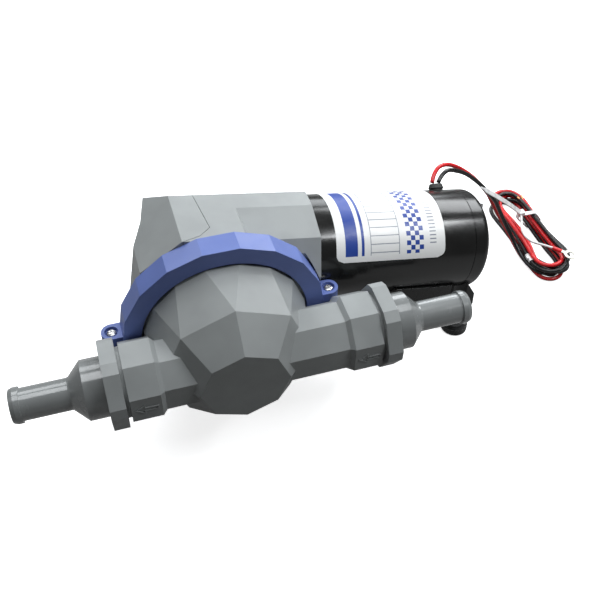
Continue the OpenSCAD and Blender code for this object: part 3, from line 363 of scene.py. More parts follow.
def build(name, grids, material, smooth=True, uv=None):
    """One object from one or more grids of points in millimetres.

    Each grid is (points, close rows, close columns, caps). Caps close the first and the last row with one
    face each.
    """
    verts, faces, base = [], [], 0
    for points, close_rows, close_cols, caps in grids:
        rows, cols = points.shape[:2]
        verts.append(points.reshape(-1, 3))
        faces += (grid_faces(rows, cols, close_rows, close_cols) + base).tolist()
        if caps:
            faces.append((np.arange(cols)[::-1] + base).tolist())
            faces.append((np.arange(cols) + base + (rows - 1) * cols).tolist())
        base += rows * cols
    mesh = bpy.data.meshes.new(name)
    mesh.from_pydata((np.vstack(verts) * MM).tolist(), [], faces)
    mesh.validate()
    if uv is not None:
        layer = mesh.uv_layers.new(name="uv")
        corner = np.empty(len(mesh.loops), dtype=np.int32)
        mesh.loops.foreach_get("vertex_index", corner)
        layer.data.foreach_set("uv", np.asarray(uv, np.float32)[corner].ravel())
    mesh.polygons.foreach_set("use_smooth", np.full(len(mesh.polygons), smooth))
    mesh.update()
    obj = bpy.data.objects.new(name, mesh)
    bpy.context.scene.collection.objects.link(obj)
    mesh.materials.append(material)
    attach(obj, BODY)
    return obj


# Finishes


class Nodes:
    """A new material with one shader, and short ways to add nodes to it."""

    def __init__(self, name):
        self.material = bpy.data.materials.new(name)
        self.material.use_nodes = True
        self.tree = self.material.node_tree
        self.tree.nodes.clear()
        self.shader = self.add("ShaderNodeBsdfPrincipled")
        self.out = self.add("ShaderNodeOutputMaterial")
        self.link(self.shader.outputs["BSDF"], self.out.inputs["Surface"])
        self.coords = self.add("ShaderNodeTexCoord")

    def add(self, kind, **sockets):
        """A node with values on its named sockets."""
        node = self.tree.nodes.new(kind)
        for key, value in sockets.items():
            node.inputs[key.replace("_", " ")].default_value = value
        return node

    def link(self, a, b):
        """Links an output to an input."""
        self.tree.links.new(a, b)

    def feed(self, socket, value):
        """Puts a number, a colour or another node's output on a socket."""
        if isinstance(value, (int, float)):
            socket.default_value = value
        elif isinstance(value, tuple):
            socket.default_value = (*value, 1.0)
        else:
            self.link(value, socket)

    def math(self, operation, a, b=0.0):
        """The result of a Math node."""
        node = self.tree.nodes.new("ShaderNodeMath")
        node.operation = operation
        self.feed(node.inputs[0], a)
        self.feed(node.inputs[1], b)
        return node.outputs[0]

    def noise(self, scale, detail=3.0, rough=0.5):
        """Noise over Object coordinates, between 0 and 1."""
        node = self.add("ShaderNodeTexNoise", Scale=scale, Detail=detail, Roughness=rough)
        self.link(self.coords.outputs["Object"], node.inputs["Vector"])
        return node.outputs["Fac"]

    def remap(self, value, low, high, from_low=0.35, from_high=0.65):
        """A value carried from one range to another. The first is by default where most of the noise lies."""
        node = self.add("ShaderNodeMapRange", From_Min=from_low, From_Max=from_high, To_Min=low, To_Max=high)
        self.link(value, node.inputs["Value"])
        return node.outputs["Result"]

    def mix(self, factor, a, b):
        """Two colours mixed. A Mix node's sockets for colours are its inputs 6 and 7 and its output 2."""
        node = self.tree.nodes.new("ShaderNodeMix")
        node.data_type = "RGBA"
        self.feed(node.inputs[0], factor)
        self.feed(node.inputs[6], a)
        self.feed(node.inputs[7], b)
        return node.outputs[2]

    def paint(self, factor, a, b):
        """The shader's colour: two colours mixed."""
        self.link(self.mix(factor, a, b), self.shader.inputs["Base Color"])

    def rough(self, noise, low, high):
        """The shader's roughness, between two values by a noise."""
        self.link(self.remap(noise, low, high), self.shader.inputs["Roughness"])

    def bump(self, height, distance, edge=0.0):
        """Bump from a height, over edges rounded by the given radius."""
        node = self.add("ShaderNodeBump", Strength=1.0, Distance=distance)
        self.link(height, node.inputs["Height"])
        if edge > 0:
            bevel = self.tree.nodes.new("ShaderNodeBevel")
            bevel.samples = 6
            bevel.inputs["Radius"].default_value = edge
            self.link(bevel.outputs["Normal"], node.inputs["Normal"])
        self.link(node.outputs["Normal"], self.shader.inputs["Normal"])

    def set(self, **values):
        """Values on the shader's named sockets."""
        for key, value in values.items():
            self.shader.inputs[key.replace("_", " ")].default_value = value


def tinted(rgb, k):
    """A colour made lighter or darker by a factor."""
    return tuple(min(1.0, c * k) for c in rgb)


def moulded_plastic(name, rgb, rough, edge=0.0007, grain=0.00002, mottle=0.07, shine=0.0):
    """Moulded plastic: slow mottling from the mould's flow, a fine pebbled skin, rounded edges and shine."""
    n = Nodes(name)
    slow = n.noise(22.0, 3.0, 0.55)
    fine = n.noise(1500.0, 2.0, 0.5)
    n.paint(n.remap(slow, 0.0, 1.0), tinted(rgb, 1 - mottle), tinted(rgb, 1 + mottle))
    n.rough(n.noise(90.0, 4.0, 0.6), rough - 0.05, rough + 0.07)
    n.bump(fine, grain, edge)
    n.set(IOR=1.46, Specular_IOR_Level=0.45, Coat_Weight=shine, Coat_Roughness=0.11)
    return n.material


def gloss_paint(name, rgb, rough, peel=0.000006, edge=0.0005):
    """Gloss paint over metal: a deep colour, orange peel and a thin clear coat."""
    n = Nodes(name)
    n.paint(n.remap(n.noise(60.0), 0.0, 1.0), tinted(rgb, 0.85), tinted(rgb, 1.3))
    n.rough(n.noise(140.0, 4.0, 0.6), rough - 0.015, rough + 0.025)
    n.bump(n.noise(420.0, 2.0, 0.4), peel, edge)
    n.set(IOR=1.5, Specular_IOR_Level=0.42, Coat_Weight=0.25, Coat_Roughness=0.12)
    return n.material


def bright_metal(name, rgb, rough, edge=0.0003):
    """Plated or ground metal: small changes of colour and polish over a fine grain."""
    n = Nodes(name)
    n.paint(n.remap(n.noise(300.0), 0.0, 1.0), tinted(rgb, 0.85), tinted(rgb, 1.1))
    n.rough(n.noise(700.0, 4.0, 0.6), rough - 0.08, rough + 0.1)
    n.bump(n.noise(2500.0, 2.0, 0.5), 0.00001, edge)
    n.set(Metallic=1.0)
    return n.material


def soft_rubber(name, rgb, rough):
    """Rubber: matt, with a dusty bloom and a faint grain."""
    n = Nodes(name)
    n.paint(n.remap(n.noise(80.0, 4.0, 0.6), 0.0, 1.0), rgb, tinted(rgb, 1.9))
    n.rough(n.noise(300.0), rough - 0.08, rough + 0.08)
    n.bump(n.noise(1800.0, 2.0, 0.5), 0.00003, 0.0004)
    return n.material


def vinyl(name, rgb, rough):
    """Lead insulation: smooth extruded vinyl with slow waviness and handling marks."""
    n = Nodes(name)
    n.paint(n.remap(n.noise(120.0), 0.0, 1.0), tinted(rgb, 0.8), tinted(rgb, 1.12))
    n.rough(n.noise(500.0, 3.0, 0.6), rough - 0.06, rough + 0.08)
    n.bump(n.noise(380.0, 2.0, 0.5), 0.00005)
    n.set(IOR=1.5)
    return n.material


def printed_film(name, white, blue, across, around):
    """Label film: white with bars, a ruled panel and chequered tiles, placed by the film's own UV map."""
    n = Nodes(name)
    parts = n.tree.nodes.new("ShaderNodeSeparateXYZ")
    n.link(n.coords.outputs["UV"], parts.inputs[0])
    u = n.math("MULTIPLY", parts.outputs[0], across)
    v = n.math("MULTIPLY", parts.outputs[1], around)

    def both(a, b):
        return n.math("MULTIPLY", a, b)

    def either(a, b):
        return n.math("MAXIMUM", a, b)

    def within(value, low, high):
        return both(n.math("GREATER_THAN", value, low), n.math("LESS_THAN", value, high))

    def stripes(value, pitch, share):
        return n.math("LESS_THAN", n.math("FRACT", n.math("DIVIDE", value, pitch)), share)

    inside = within(v, PRINT_MARGIN, around - PRINT_MARGIN)
    bars = either(both(within(u, *WIDE_BAR), inside), both(within(u, *THIN_BAR), inside))
    chequer = n.math("ABSOLUTE", n.math("SUBTRACT", stripes(u, TILE_PITCH, 0.5), stripes(v, TILE_PITCH, 0.5)))
    tiles = both(both(within(u, *TILES), inside), chequer)
    rules = both(stripes(v, PANEL_PITCH, 0.10), within(u, *PANEL))
    sides = either(within(u, *PANEL_LEFT_LINE), within(u, *PANEL_RIGHT_LINE))
    panel = both(either(rules, sides), inside)
    note_rows = both(stripes(v, NOTES_PITCH, 0.3), within(u, *NOTES))
    notes = both(note_rows, within(v, NOTES_MARGIN, around - NOTES_MARGIN))
    ground = n.mix(n.remap(n.noise(40.0), 0.0, 1.0), tinted(white, 0.97), white)
    n.paint(either(panel, notes), n.mix(either(bars, tiles), ground, blue), PRINT_GREY)
    n.rough(n.noise(200.0), 0.30, 0.42)
    n.bump(n.noise(260.0, 2.0, 0.4), 0.00002)
    return n.material


def background_rays(tree):
    """A factor: 1 for camera and transmission rays, a fixed share for glossy rays and 0 for the rest."""
    rays = tree.nodes.new("ShaderNodeLightPath")
    share = tree.nodes.new("ShaderNodeMath")
    share.operation = "MULTIPLY"
    share.inputs[1].default_value = MIRRORED_SHARE
    tree.links.new(rays.outputs["Is Glossy Ray"], share.inputs[0])
    factor = share.outputs[0]
    for kind in ("Is Transmission Ray", "Is Camera Ray"):
        larger = tree.nodes.new("ShaderNodeMath")
        larger.operation = "MAXIMUM"
        tree.links.new(factor, larger.inputs[0])
        tree.links.new(rays.outputs[kind], larger.inputs[1])
        factor = larger.outputs[0]
    return factor


def colours():
    """The colours that the user may change."""
    return bpy.context.scene.pump_colours


def sizes():
    """The sizes that the user may change."""
    return bpy.context.scene.pump_sizes


def finish(name):
    """The named finish, made once."""
    title = "finish_" + name
    found = bpy.data.materials.get(title)
    if found is not None:
        return found
    c = colours()
    grey, black = tuple(c.grey), tuple(c.black)
    # Darker copy of the grey for the hose tails: painted shade, not a different plastic
    tail_grey_painted_shade = tinted(grey, 0.72)
    makers = {
        "grey_plastic": lambda: moulded_plastic(title, grey, 0.40, edge=0.00045, shine=0.12),
        "blue_plastic": lambda: moulded_plastic(title, tuple(c.blue), 0.38, mottle=0.06),
        # Glossy grey for the hose tails, darkened as painted shade on their tubes
        "glossy_plastic_painted_shade": lambda: moulded_plastic(
            title, tail_grey_painted_shade, 0.22, edge=0.0004, grain=0.000002, shine=1.0
        ),
        "black_plastic": lambda: moulded_plastic(
            title, black, 0.27, edge=0.0009, grain=0.00001, mottle=0.2
        ),
        "black_paint": lambda: gloss_paint(title, black, 0.21),
        "black_rubber": lambda: soft_rubber(title, (0.018, 0.018, 0.018), 0.6),
        "steel": lambda: bright_metal(title, tuple(c.steel), 0.28),
        "tin": lambda: bright_metal(title, (0.42, 0.41, 0.37), 0.42),
        "copper": lambda: bright_metal(title, tuple(c.copper), 0.35),
        "magnet": lambda: soft_rubber(title, (0.05, 0.05, 0.052), 0.7),
        "white_nylon": lambda: vinyl(title, tuple(c.white), 0.35),
        "red_vinyl": lambda: vinyl(title, tuple(c.red), 0.30),
        "black_vinyl": lambda: vinyl(title, (0.007, 0.007, 0.0075), 0.30),
    }
    return makers[name]()


# Leads


def oval(turn, slender):
    """Points of an oval one unit wide to each side: two half circles joined by straight sides.

    Turn 0 is the middle of the left side, going towards -y. Slender is the half length over the half width.
    """
    run = 2 * (slender - 1)
    arc = np.pi
    s = ((turn % 1.0) * (2 * run + 2 * arc) + run / 2) % (2 * run + 2 * arc)
    near = np.clip(s - run, 0, arc)
    far = np.clip(s - 2 * run - arc, 0, arc)
    y = run / 2 - np.clip(s, 0, run) + np.clip(s - run - arc, 0, run) - np.sin(near) + np.sin(far)
    x = np.where(s < run + arc, -np.cos(near), np.cos(far))
    return x, y


def pair_of_turns(turns, seed):
    """Centre lines of two leads wound side by side.

    Their middle line is an oval that climbs by a fixed height a turn and changes its width, place and
    length a little every half turn. Each lead is half the pair's gap from it, on a slow twist.
    """
    rng = np.random.default_rng(seed)
    turn = np.linspace(0, turns, int(turns * POINTS_A_TURN))
    marks = np.arange(0, turns + 1.01, 0.5)
    half_width = WOUND_HALF_WIDTH + np.interp(turn, marks, rng.uniform(*WIDTH_CHANGE, len(marks)))
    lean = np.interp(turn, marks, rng.uniform(*LEAN_CHANGE, len(marks)))
    shift = np.interp(turn, marks, rng.uniform(*SHIFT_CHANGE, len(marks)))
    half_length = WOUND_HALF_LENGTH + np.interp(turn, marks, rng.uniform(*LENGTH_CHANGE, len(marks)))
    x, y = oval(turn + WOUND_START, WOUND_SLENDER)
    across = HANK_X + lean + x * half_width * (1 - WOUND_WAIST * y / WOUND_SLENDER)
    along = HANK_Y + shift + y / WOUND_SLENDER * half_length
    middle = np.stack([across, along, LOWEST_TURN + CLIMB * turn], axis=1)
    out = np.stack([x, 0.35 * y / WOUND_SLENDER, 0 * x], axis=1)
    out /= np.linalg.norm(out, axis=1, keepdims=True) + 1e-9
    phase = 2 * np.pi * (0.1 + PAIR_TWIST * turn)[:, None]
    side = PAIR_HALF_GAP * (np.cos(phase) * out + np.sin(phase) * np.array([0, 0, 1.0]))
    return middle + side, middle - side


def half_turn(p, inner):
    """For each inner point, the middle of its two neighbours less the point."""
    d = np.zeros_like(p)
    d[1:-1] = 0.5 * (p[:-2] + p[2:]) - p[1:-1]
    d[~inner] = 0
    return d


def opening(p, inner, step, tightest):
    """Moves that open too tight bends: the point goes towards its neighbours' middle, and they go back."""
    bend = half_turn(p, inner)
    how_far = np.linalg.norm(bend, axis=1, keepdims=True) + 1e-9
    ease = bend * np.maximum(0, 1 - step**2 / (2 * tightest) / how_far) * OPENED_SHARE
    spread = ease.copy()
    spread[:-1] -= 0.5 * ease[1:]
    spread[1:] -= 0.5 * ease[:-1]
    return spread


def parting(p, i, j, want):
    """Moves that push close points i and j apart to the wanted distance, eased where pairs are many."""
    gap = p[j] - p[i]
    dist = np.sqrt((gap**2).sum(axis=1)) + 1e-9
    push = np.maximum(0, want - dist) * 0.5
    move = gap / dist[:, None] * push[:, None]
    n = len(p)
    sums = [np.bincount(j, move[:, a], n) - np.bincount(i, move[:, a], n) for a in range(3)]
    count = np.bincount(j, push > 0, n) + np.bincount(i, push > 0, n)
    return np.stack(sums, axis=1) / np.maximum(1, count)[:, None] ** 0.5


def lowest_centre(p, radius):
    """Height that a lead's centre keeps: its radius, and the strap's thickness more at the tie."""
    near_strap = np.exp(-(((p[:, 1] - TIE_Y) / STRAP_SPREAD) ** 2)) * (p[:, 0] > TIE_HEAD_X - 3)
    return radius + FLOOR_SPARE + (TIE_THICK + STRAP_SPARE) * near_strap


def keep_in_outline(p, coiled, limit):
    """Brings the coiled points back into the hank's outline, which is a rounded bar seen from above."""
    dy = p[:, 1] - HANK_Y
    over = np.sign(dy) * np.maximum(0, np.abs(dy) - (HANK_HALF_LENGTH - HANK_HALF_WIDTH))
    away = np.hypot(p[:, 0] - HANK_X, over)
    keep = np.where(coiled & (away > limit), limit / np.maximum(away, 1e-9), 1.0)
    p[:, 0] = HANK_X + (p[:, 0] - HANK_X) * keep
    p[:, 1] = HANK_Y + dy - over + over * keep


def settle(lines, radius, fixed, wound, rounds):
    """Lets the leads settle.

    In every round each free point drops a little and is eased towards a fair curve. Then, a few times over,
    the bends are opened, points of different strands are pushed apart to a lead's diameter, kept above the
    floor and the tie's strap and, past the given point, within the hank's outline, and drawn to even
    spacing.
    """
    counts = [len(p) for p in lines]
    owner = np.repeat(np.arange(len(lines)), counts)
    order = np.concatenate([np.arange(n) for n in counts])
    p = np.vstack(lines)
    free = np.concatenate([np.arange(k) >= f for k, f in zip(counts, fixed)])
    coiled = np.concatenate([np.arange(k) >= f for k, f in zip(counts, wound)])
    step = np.median(np.linalg.norm(np.diff(lines[0], axis=0), axis=1))
    want = 2 * radius + LEAD_SPARE
    reach = int(np.ceil(RADII_OF_OWN_STRAND * radius / step))
    joined = owner[1:] == owner[:-1]
    inner = np.concatenate([[False], joined]) & np.concatenate([joined, [False]])
    same = (owner[:, None] == owner[None]) & (np.abs(order[:, None] - order[None]) < reach)
    pairs = np.triu(np.ones((len(p), len(p)), bool), 1) & ~same
    for k in range(rounds):
        if k % ROUNDS_A_SEARCH == 0:
            apart = ((p[:, None] - p[None]) ** 2).sum(axis=2)
            i, j = np.nonzero(pairs & (apart < (want + CLOSE_BY) ** 2))
        bend = half_turn(p, inner)
        fair = half_turn(bend, inner)
        p[free] += (EASED_STRAIGHT * bend - EASED_FAIR * fair)[free]
        p[free, 2] -= LATE_SINKING if k > rounds * LATE_SHARE else SINKING
        for _ in range(TIGHTENINGS):
            p[free] += opening(p, inner, step, TIGHTEST_BEND)[free]
            p[free] += parting(p, i, j, want)[free]
            p[free, 2] = np.maximum(p[:, 2], lowest_centre(p, radius))[free]
            keep_in_outline(p, coiled, HANK_HALF_WIDTH - radius)
            span = p[1:] - p[:-1]
            size = np.linalg.norm(span, axis=1, keepdims=True) + 1e-9
            pull = np.where(joined[:, None], span * (1 - step / size) * DRAWN_SHARE, 0.0)
            p[:-1][free[:-1]] += pull[free[:-1]]
            p[1:][free[1:]] -= pull[free[1:]]
    return np.split(p, np.cumsum(counts)[:-1])


def wound_leads(turns, seed, radius, quick):
    """Centre lines of both leads: the fixed stretch from the grommet, an easy entry and the settled turns."""
    lines, fixed, wound = [], [], []
    for route, turn in zip((BLACK_ROUTE, RED_ROUTE), pair_of_turns(turns, seed)):
        stretch = even_spacing(smooth_curve(route[:ROUTE_KEPT], 12), LEAD_STEP)
        x, y, z = route[ROUTE_KEPT]
        landing = [[x + 1.5, y - 4, z]] + [[entry_x, y - past, entry_z] for entry_x, past, entry_z in ENTRY]
        points = np.vstack([stretch[[-6, -3, -1]], landing, turn[[ENTRY_JOIN - 4, ENTRY_JOIN]]])
        entry = smooth_curve(points, 10)
        line = np.vstack([stretch[:-6], entry[:-1], turn[ENTRY_JOIN:]])
        lines.append(even_spacing(line, LEAD_STEP))
        fixed.append(len(stretch) - 4)
        wound.append(int(len(stretch) + line_length(entry) / LEAD_STEP) - 8)
    return settle(lines, radius, fixed, wound, QUICK_ROUNDS if quick else ROUNDS)


# Operators


class PumpOperator(Operator):
    """What all the pump's operators share."""

    bl_options = {"REGISTER", "UNDO"}


class PUMP_OT_stage(PumpOperator):
    """Make the camera, the pale floor, the studio lamps and the white surroundings."""

    bl_idname = "pump.stage"
    bl_label = "Stage"

    def execute(self, context):
        scene = context.scene
        scene.view_settings.view_transform = "Standard"
        self.camera(scene)
        self.surroundings(scene)
        for lamp in LAMPS:
            self.lamp(scene, *lamp)
        sheet = [(self.floor_points(), False, False, False)]
        floor = build("floor", sheet, self.floor_finish())
        return {"FINISHED"}

    def placed(self, scene, name, data, axes, place):
        """An object with the given x, y and z axes at a place."""
        obj = bpy.data.objects.new(name, data)
        obj.matrix_world = Matrix([[axis[i] for axis in (*axes, place)] for i in range(3)] + [[0, 0, 0, 1]])
        scene.collection.objects.link(obj)
        return obj

    def camera(self, scene):
        """The camera at the photograph's view."""
        data = bpy.data.cameras.new("camera")
        data.lens = CAMERA_LENS
        data.sensor_width = CAMERA_SENSOR
        data.clip_start = 0.01
        data.clip_end = 20.0
        axes = (CAMERA_RIGHT, CAMERA_UP, CAMERA_BACK)
        scene.camera = self.placed(scene, "camera", data, axes, CAMERA_PLACE)

    def surroundings(self, scene):
        """White behind the pump, and a faint light all round."""
        world = bpy.data.worlds.new("surroundings")
        scene.world = world
        world.use_nodes = True
        tree = world.node_tree
        tree.nodes.clear()
        out = tree.nodes.new("ShaderNodeOutputWorld")
        soft = tree.nodes.new("ShaderNodeBackground")
        soft.inputs["Color"].default_value = SKY
        soft.inputs["Strength"].default_value = SKY_STRENGTH
        plain = tree.nodes.new("ShaderNodeBackground")
        plain.inputs["Color"].default_value = (1.0, 1.0, 1.0, 1.0)
        plain.inputs["Strength"].default_value = 1.0
        mix = tree.nodes.new("ShaderNodeMixShader")
        tree.links.new(background_rays(tree), mix.inputs[0])
        tree.links.new(soft.outputs[0], mix.inputs[1])
        tree.links.new(plain.outputs[0], mix.inputs[2])
        tree.links.new(mix.outputs[0], out.inputs["Surface"])

    def lamp(self, scene, name, place, size, power, tint):
        """A flat rectangular lamp that faces the aim."""
        light = bpy.data.lights.new(name, "AREA")
        light.shape = "RECTANGLE"
        light.size, light.size_y = size
        light.energy = power
        light.color = tint
        direction = np.array(LAMP_AIM, float) - np.array(place, float)
        z = -direction / np.linalg.norm(direction)
        x = np.cross((0.0, 0.0, 1.0) if abs(z[2]) < 0.99 else (0.0, 1.0, 0.0), z)
        x /= np.linalg.norm(x)
        self.placed(scene, name, light, (x, np.cross(z, x), z), place)

    def floor_points(self):
        """A flat sheet under the pump, just below the feet."""
        side = np.linspace(-FLOOR_HALF, FLOOR_HALF, 3)
        x, y = np.meshgrid(side, side, indexing="ij")
        return np.stack([x, y, np.full_like(x, -FLOOR_DEPTH)], axis=-1)

    def floor_finish(self):
        """Pale paper that shows as white except where the pump shades it, and throws little light back."""
        n = Nodes("floor_paper")
        n.set(Base_Color=PAPER, Roughness=0.9, Specular_IOR_Level=0.1)
        glow = n.add("ShaderNodeEmission", Color=(1.0, 1.0, 1.0, 1.0))
        away = n.add("ShaderNodeVectorMath")
        away.operation = "LENGTH"
        n.link(n.coords.outputs["Object"], away.inputs[0])
        n.link(n.remap(away.outputs["Value"], *PAPER_GLOW, *GLOW_DISTANCE), glow.inputs["Strength"])
        bounce = n.add("ShaderNodeBsdfDiffuse", Color=PAPER_BOUNCE)
        seen = n.tree.nodes.new("ShaderNodeAddShader")
        pick = n.tree.nodes.new("ShaderNodeMixShader")
        n.link(n.shader.outputs[0], seen.inputs[0])
        n.link(glow.outputs[0], seen.inputs[1])
        n.link(background_rays(n.tree), pick.inputs[0])
        n.link(bounce.outputs[0], pick.inputs[1])
        n.link(seen.outputs[0], pick.inputs[2])
        n.link(pick.outputs[0], n.out.inputs["Surface"])
        return n.material


class PUMP_OT_leads(PumpOperator):
    """Make the red and the black lead, from the grommet to the tied hank, and the ties."""

    bl_idname = "pump.leads"
    bl_label = "Leads"

    def execute(self, context):
        radius = sizes().lead / 2
        black, red = wound_leads(sizes().turns, sizes().seed, radius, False)
        runs = []
        for name, line, material, slot_name, others in (
            ("black_lead_run", black, "black_vinyl", "black_rubber", ("black_lead", "lead_hank")),
            ("red_lead_run", red, "red_vinyl", "red_vinyl", ("red_lead",)),
        ):
            path = even_spacing(smooth_curve(line, 3), LEAD_SPACING)
            runs.append(path)
            bare = self.bare_end(name.replace("lead_run", "bare_end"), path, radius)
            surface = sweep(path, circle(radius, LEAD_SIDES))
            tube = build(name, [(surface, False, True, True)], finish(material))
            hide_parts(*others)
        self.tie(runs, radius)
        self.marker(runs[0], radius)
        return {"FINISHED"}

    def bare_end(self, name, path, radius):
        """Stripped strands past the insulation: a bundle of seven lobes with a slow twist and a blunt tip."""
        ahead = path[-1] - path[-2]
        ahead /= np.linalg.norm(ahead)
        along = np.linspace(-BARE_BURIED, BARE_LENGTH, 28)
        line = path[-1] + along[:, None] * ahead
        a = np.linspace(0, 2 * np.pi, 28, endpoint=False)
        lobes = radius * (0.52 + 0.06 * np.abs(np.sin(3.5 * a[None, :] + 0.35 * along[:, None])))
        tip = np.clip((BARE_LENGTH - along) / 0.8, 0.35, 1.0)[:, None]
        side, normal = path_frames(line)
        outward = side[:, None] * np.cos(a)[None, :, None] + normal[:, None] * np.sin(a)[None, :, None]
        points = line[:, None] + (lobes * tip)[..., None] * outward
        return build(name, [(points, False, True, True)], finish("copper"))

    def strap(self, runs, radius):
        """The strap: a flat band round the hull of the right-hand strands' discs and one under the head."""
        near = np.vstack([run[np.abs(run[:, 1] - TIE_Y) < 3.0] for run in runs])
        held = near[(near[:, 0] > TIE_HEAD_X - 2) & (near[:, 2] < HANK_HEIGHT)][:, [0, 2]]
        held = np.vstack([held, [TIE_HEAD_X - 1.0, HANK_HEIGHT - radius - 0.5 * TIE_THICK]])
        angle = np.linspace(0, 2 * np.pi, 180, endpoint=False)
        facing = np.stack([np.cos(angle), np.sin(angle)], axis=1)
        furthest = held[np.argmax(held @ facing.T, axis=0)]
        hull = furthest + (radius + 0.5 * TIE_THICK) * facing
        hull = even_spacing(np.insert(np.vstack([hull, hull[:1]]), 1, TIE_Y, axis=1), 0.6)[:-1]
        for _ in range(6):
            hull = 0.25 * np.roll(hull, 1, axis=0) + 0.5 * hull + 0.25 * np.roll(hull, -1, axis=0)
        return sweep(hull, rounded_box(TIE_THICK, TIE_WIDTH, TIE_CORNER, 3), up=(0, 1, 0.001), closed=True)

    def tail(self, head):
        """The tail: a slightly bowed line, a flat profile that narrows at its end, and saw teeth below."""
        turn, rise, roll = np.radians(TAIL_ANGLES)
        ahead = np.array([np.cos(rise) * np.cos(turn), np.cos(rise) * np.sin(turn), np.sin(rise)])
        level = np.array([-np.sin(turn), np.cos(turn), 0.0])
        across = level * np.cos(roll) + np.cross(ahead, level) * np.sin(roll)
        outward = np.cross(ahead, across)
        d = np.arange(0, TAIL_LENGTH, 0.35)
        bow = TAIL_BOW * np.sin(np.pi * d / TAIL_LENGTH)
        line = head + d[:, None] * ahead + bow[:, None] * outward
        taper = np.clip((TAIL_LENGTH - d) / TAIL_POINT, 0.45, 1.0)
        teeth = TOOTH_HEIGHT * ((d / TOOTH_PITCH) % 1.0) * (d < TAIL_LENGTH - TOOTHLESS_END)
        profile = rounded_box(TIE_WIDTH, TIE_THICK, TIE_CORNER, 3)
        inner = (np.abs(profile[:, 0]) < TIE_WIDTH * 0.34) & (profile[:, 1] < 0)
        thick = profile[None, :, 1] + np.where(inner[None, :], teeth[:, None], 0.0)
        wide = (profile[None, :, 0] * taper[:, None])[..., None] * across
        return line[:, None] + wide + thick[..., None] * outward

    def tie(self, runs, radius):
        """The cable tie: strap, tail and head."""
        head = np.array([TIE_HEAD_X, TIE_Y, HANK_HEIGHT + TIE_HEAD[2] / 2])
        grids = [
            (self.strap(runs, radius), True, True, False),
            (self.tail(head), False, True, True),
            block(head, TIE_HEAD),
        ]
        piece = build("hank_tie_band", grids, finish("white_nylon"), smooth=False)
        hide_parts("hank_tie")

    def marker(self, run, radius):
        """A short white band round the outermost black strand, with its small latch."""
        wound = run[run[:, 2] < HANK_HEIGHT]
        near = wound[(np.abs(wound[:, 1] - MARKER_Y) < 1.5) & (wound[:, 0] < HANK_X)]
        place = near[np.argmin(near[:, 0] - near[:, 2])]
        at = int(np.argmin(np.linalg.norm(run - place, axis=1)))
        line = even_spacing(run[at - 3 : at + 4], 0.8)
        band = sweep(line, circle(radius + MARKER_WALL, 20))
        latch_at = place + np.array(LATCH_SIDE) * (radius + LATCH_LIFT)
        grids = [(band, False, True, True), block(latch_at, MARKER_LATCH)]
        piece = build("marker_band", grids, finish("white_nylon"), smooth=False)
        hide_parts("marker_tie")


class PUMP_OT_thin_lead(PumpOperator):
    """Make the thin white lead that ends in the ring terminal."""

    bl_idname = "pump.thin_lead"
    bl_label = "Thin lead"

    def execute(self, context):
        radius = sizes().thin / 2
        path = even_spacing(smooth_curve(THIN_ROUTE, 16), THIN_SPACING)
        surface = sweep(path, circle(radius, THIN_SIDES))
        tube = build("thin_lead_run", [(surface, False, True, True)], finish("white_nylon"))
        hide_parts("thin_lead")
        return {"FINISHED"}


class PUMP_OT_finishes(PumpOperator):
    """Give every solid of the pump its finish."""

    bl_idname = "pump.finishes"
    bl_label = "Finishes"

    def execute(self, context):
        for names, material in (
            (GREY_NODES, "grey_plastic"),
            (TAIL_NODES_PAINTED_SHADE, "glossy_plastic_painted_shade"),
            (BLUE_NODES, "blue_plastic"),
            (PAINT_NODES, "black_paint"),
            (GLOSS_NODES, "black_plastic"),
            (RUBBER_NODES, "black_rubber"),
            (STEEL_NODES, "steel"),
            (TIN_NODES, "tin"),
            (COPPER_NODES, "copper"),
            (MAGNET_NODES, "magnet"),
            (NYLON_NODES, "white_nylon"),
            (RED_NODES, "red_vinyl"),
        ):
            for name in names:
                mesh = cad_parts[name].data
                mesh.materials.clear()
                mesh.materials.append(finish(material))
        return {"FINISHED"}


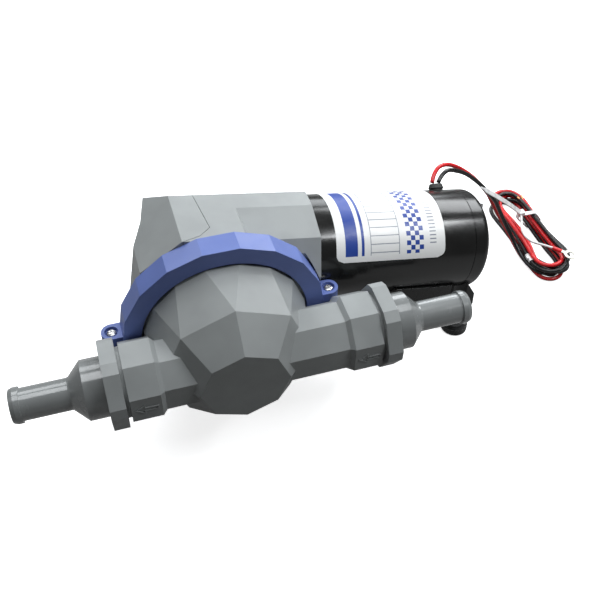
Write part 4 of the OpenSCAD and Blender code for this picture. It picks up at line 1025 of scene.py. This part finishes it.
class PUMP_OT_label(PumpOperator):
    """Make the printed label on the motor."""

    bl_idname = "pump.label"
    bl_label = "Label"

    def execute(self, context):
        points, uv, across, around = self.film(sizes())
        material = printed_film(
            "label_film", tuple(colours().white), tuple(colours().label_blue), across, around
        )
        build("motor_label", [(points, False, False, False)], material, uv=uv)
        return {"FINISHED"}

    def film(self, given):
        """A sheet on the can: angle by arc length, and rows drawn in by a quarter circle near the corners."""
        radius = CAN_RADIUS + FILM_LIFT
        across = given.label_end - given.label_start
        around = np.radians(given.label_high - given.label_low) * radius
        corner = given.label_corner
        rows, cols = 61, 81
        v = np.linspace(0, around, rows)
        edge = np.minimum(v, around - v)
        curve = corner - np.sqrt(np.maximum(0.0, corner**2 - (corner - edge) ** 2))
        inset = np.where(edge < corner, curve, 0.0)
        t = np.linspace(0, 1, cols)
        u = inset[:, None] + (across - 2 * inset[:, None]) * t[None, :]
        arc = np.repeat(v[:, None], cols, axis=1)
        angle = np.radians(given.label_low) + arc / radius
        points = drive_points(given.label_start + u, -radius * np.cos(angle), radius * np.sin(angle))
        uv = np.stack([u / across, arc / around], axis=-1).reshape(-1, 2)
        return points, uv, across, around


class PUMP_PT_panel(Panel):
    """Lists the colours, the sizes and the pieces in the sidebar."""

    bl_idname = "PUMP_PT_panel"
    bl_label = "Pump"
    bl_space_type = "VIEW_3D"
    bl_region_type = "UI"
    bl_category = "Pump"

    def draw(self, context):
        for group in (context.scene.pump_colours, context.scene.pump_sizes):
            for key in group.__annotations__:
                self.layout.prop(group, key)
        for operator in OPERATORS:
            self.layout.operator(operator.bl_idname)


OPERATORS = (PUMP_OT_stage, PUMP_OT_leads, PUMP_OT_thin_lead, PUMP_OT_finishes, PUMP_OT_label)
CLASSES = (PumpColours, PumpSizes, *OPERATORS, PUMP_PT_panel)


def register():
    """Adds the classes and both groups of settings."""
    for cls in CLASSES:
        bpy.utils.register_class(cls)
    bpy.types.Scene.pump_colours = PointerProperty(type=PumpColours)
    bpy.types.Scene.pump_sizes = PointerProperty(type=PumpSizes)


def unregister():
    """Takes both groups of settings and the classes out again."""
    del bpy.types.Scene.pump_sizes
    del bpy.types.Scene.pump_colours
    for cls in reversed(CLASSES):
        bpy.utils.unregister_class(cls)


def main():
    """Registers the add-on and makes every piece."""
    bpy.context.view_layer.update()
    register()
    for operator in OPERATORS:
        getattr(bpy.ops.pump, operator.bl_idname.split(".")[1])()


if __name__ == "__main__":
    main()
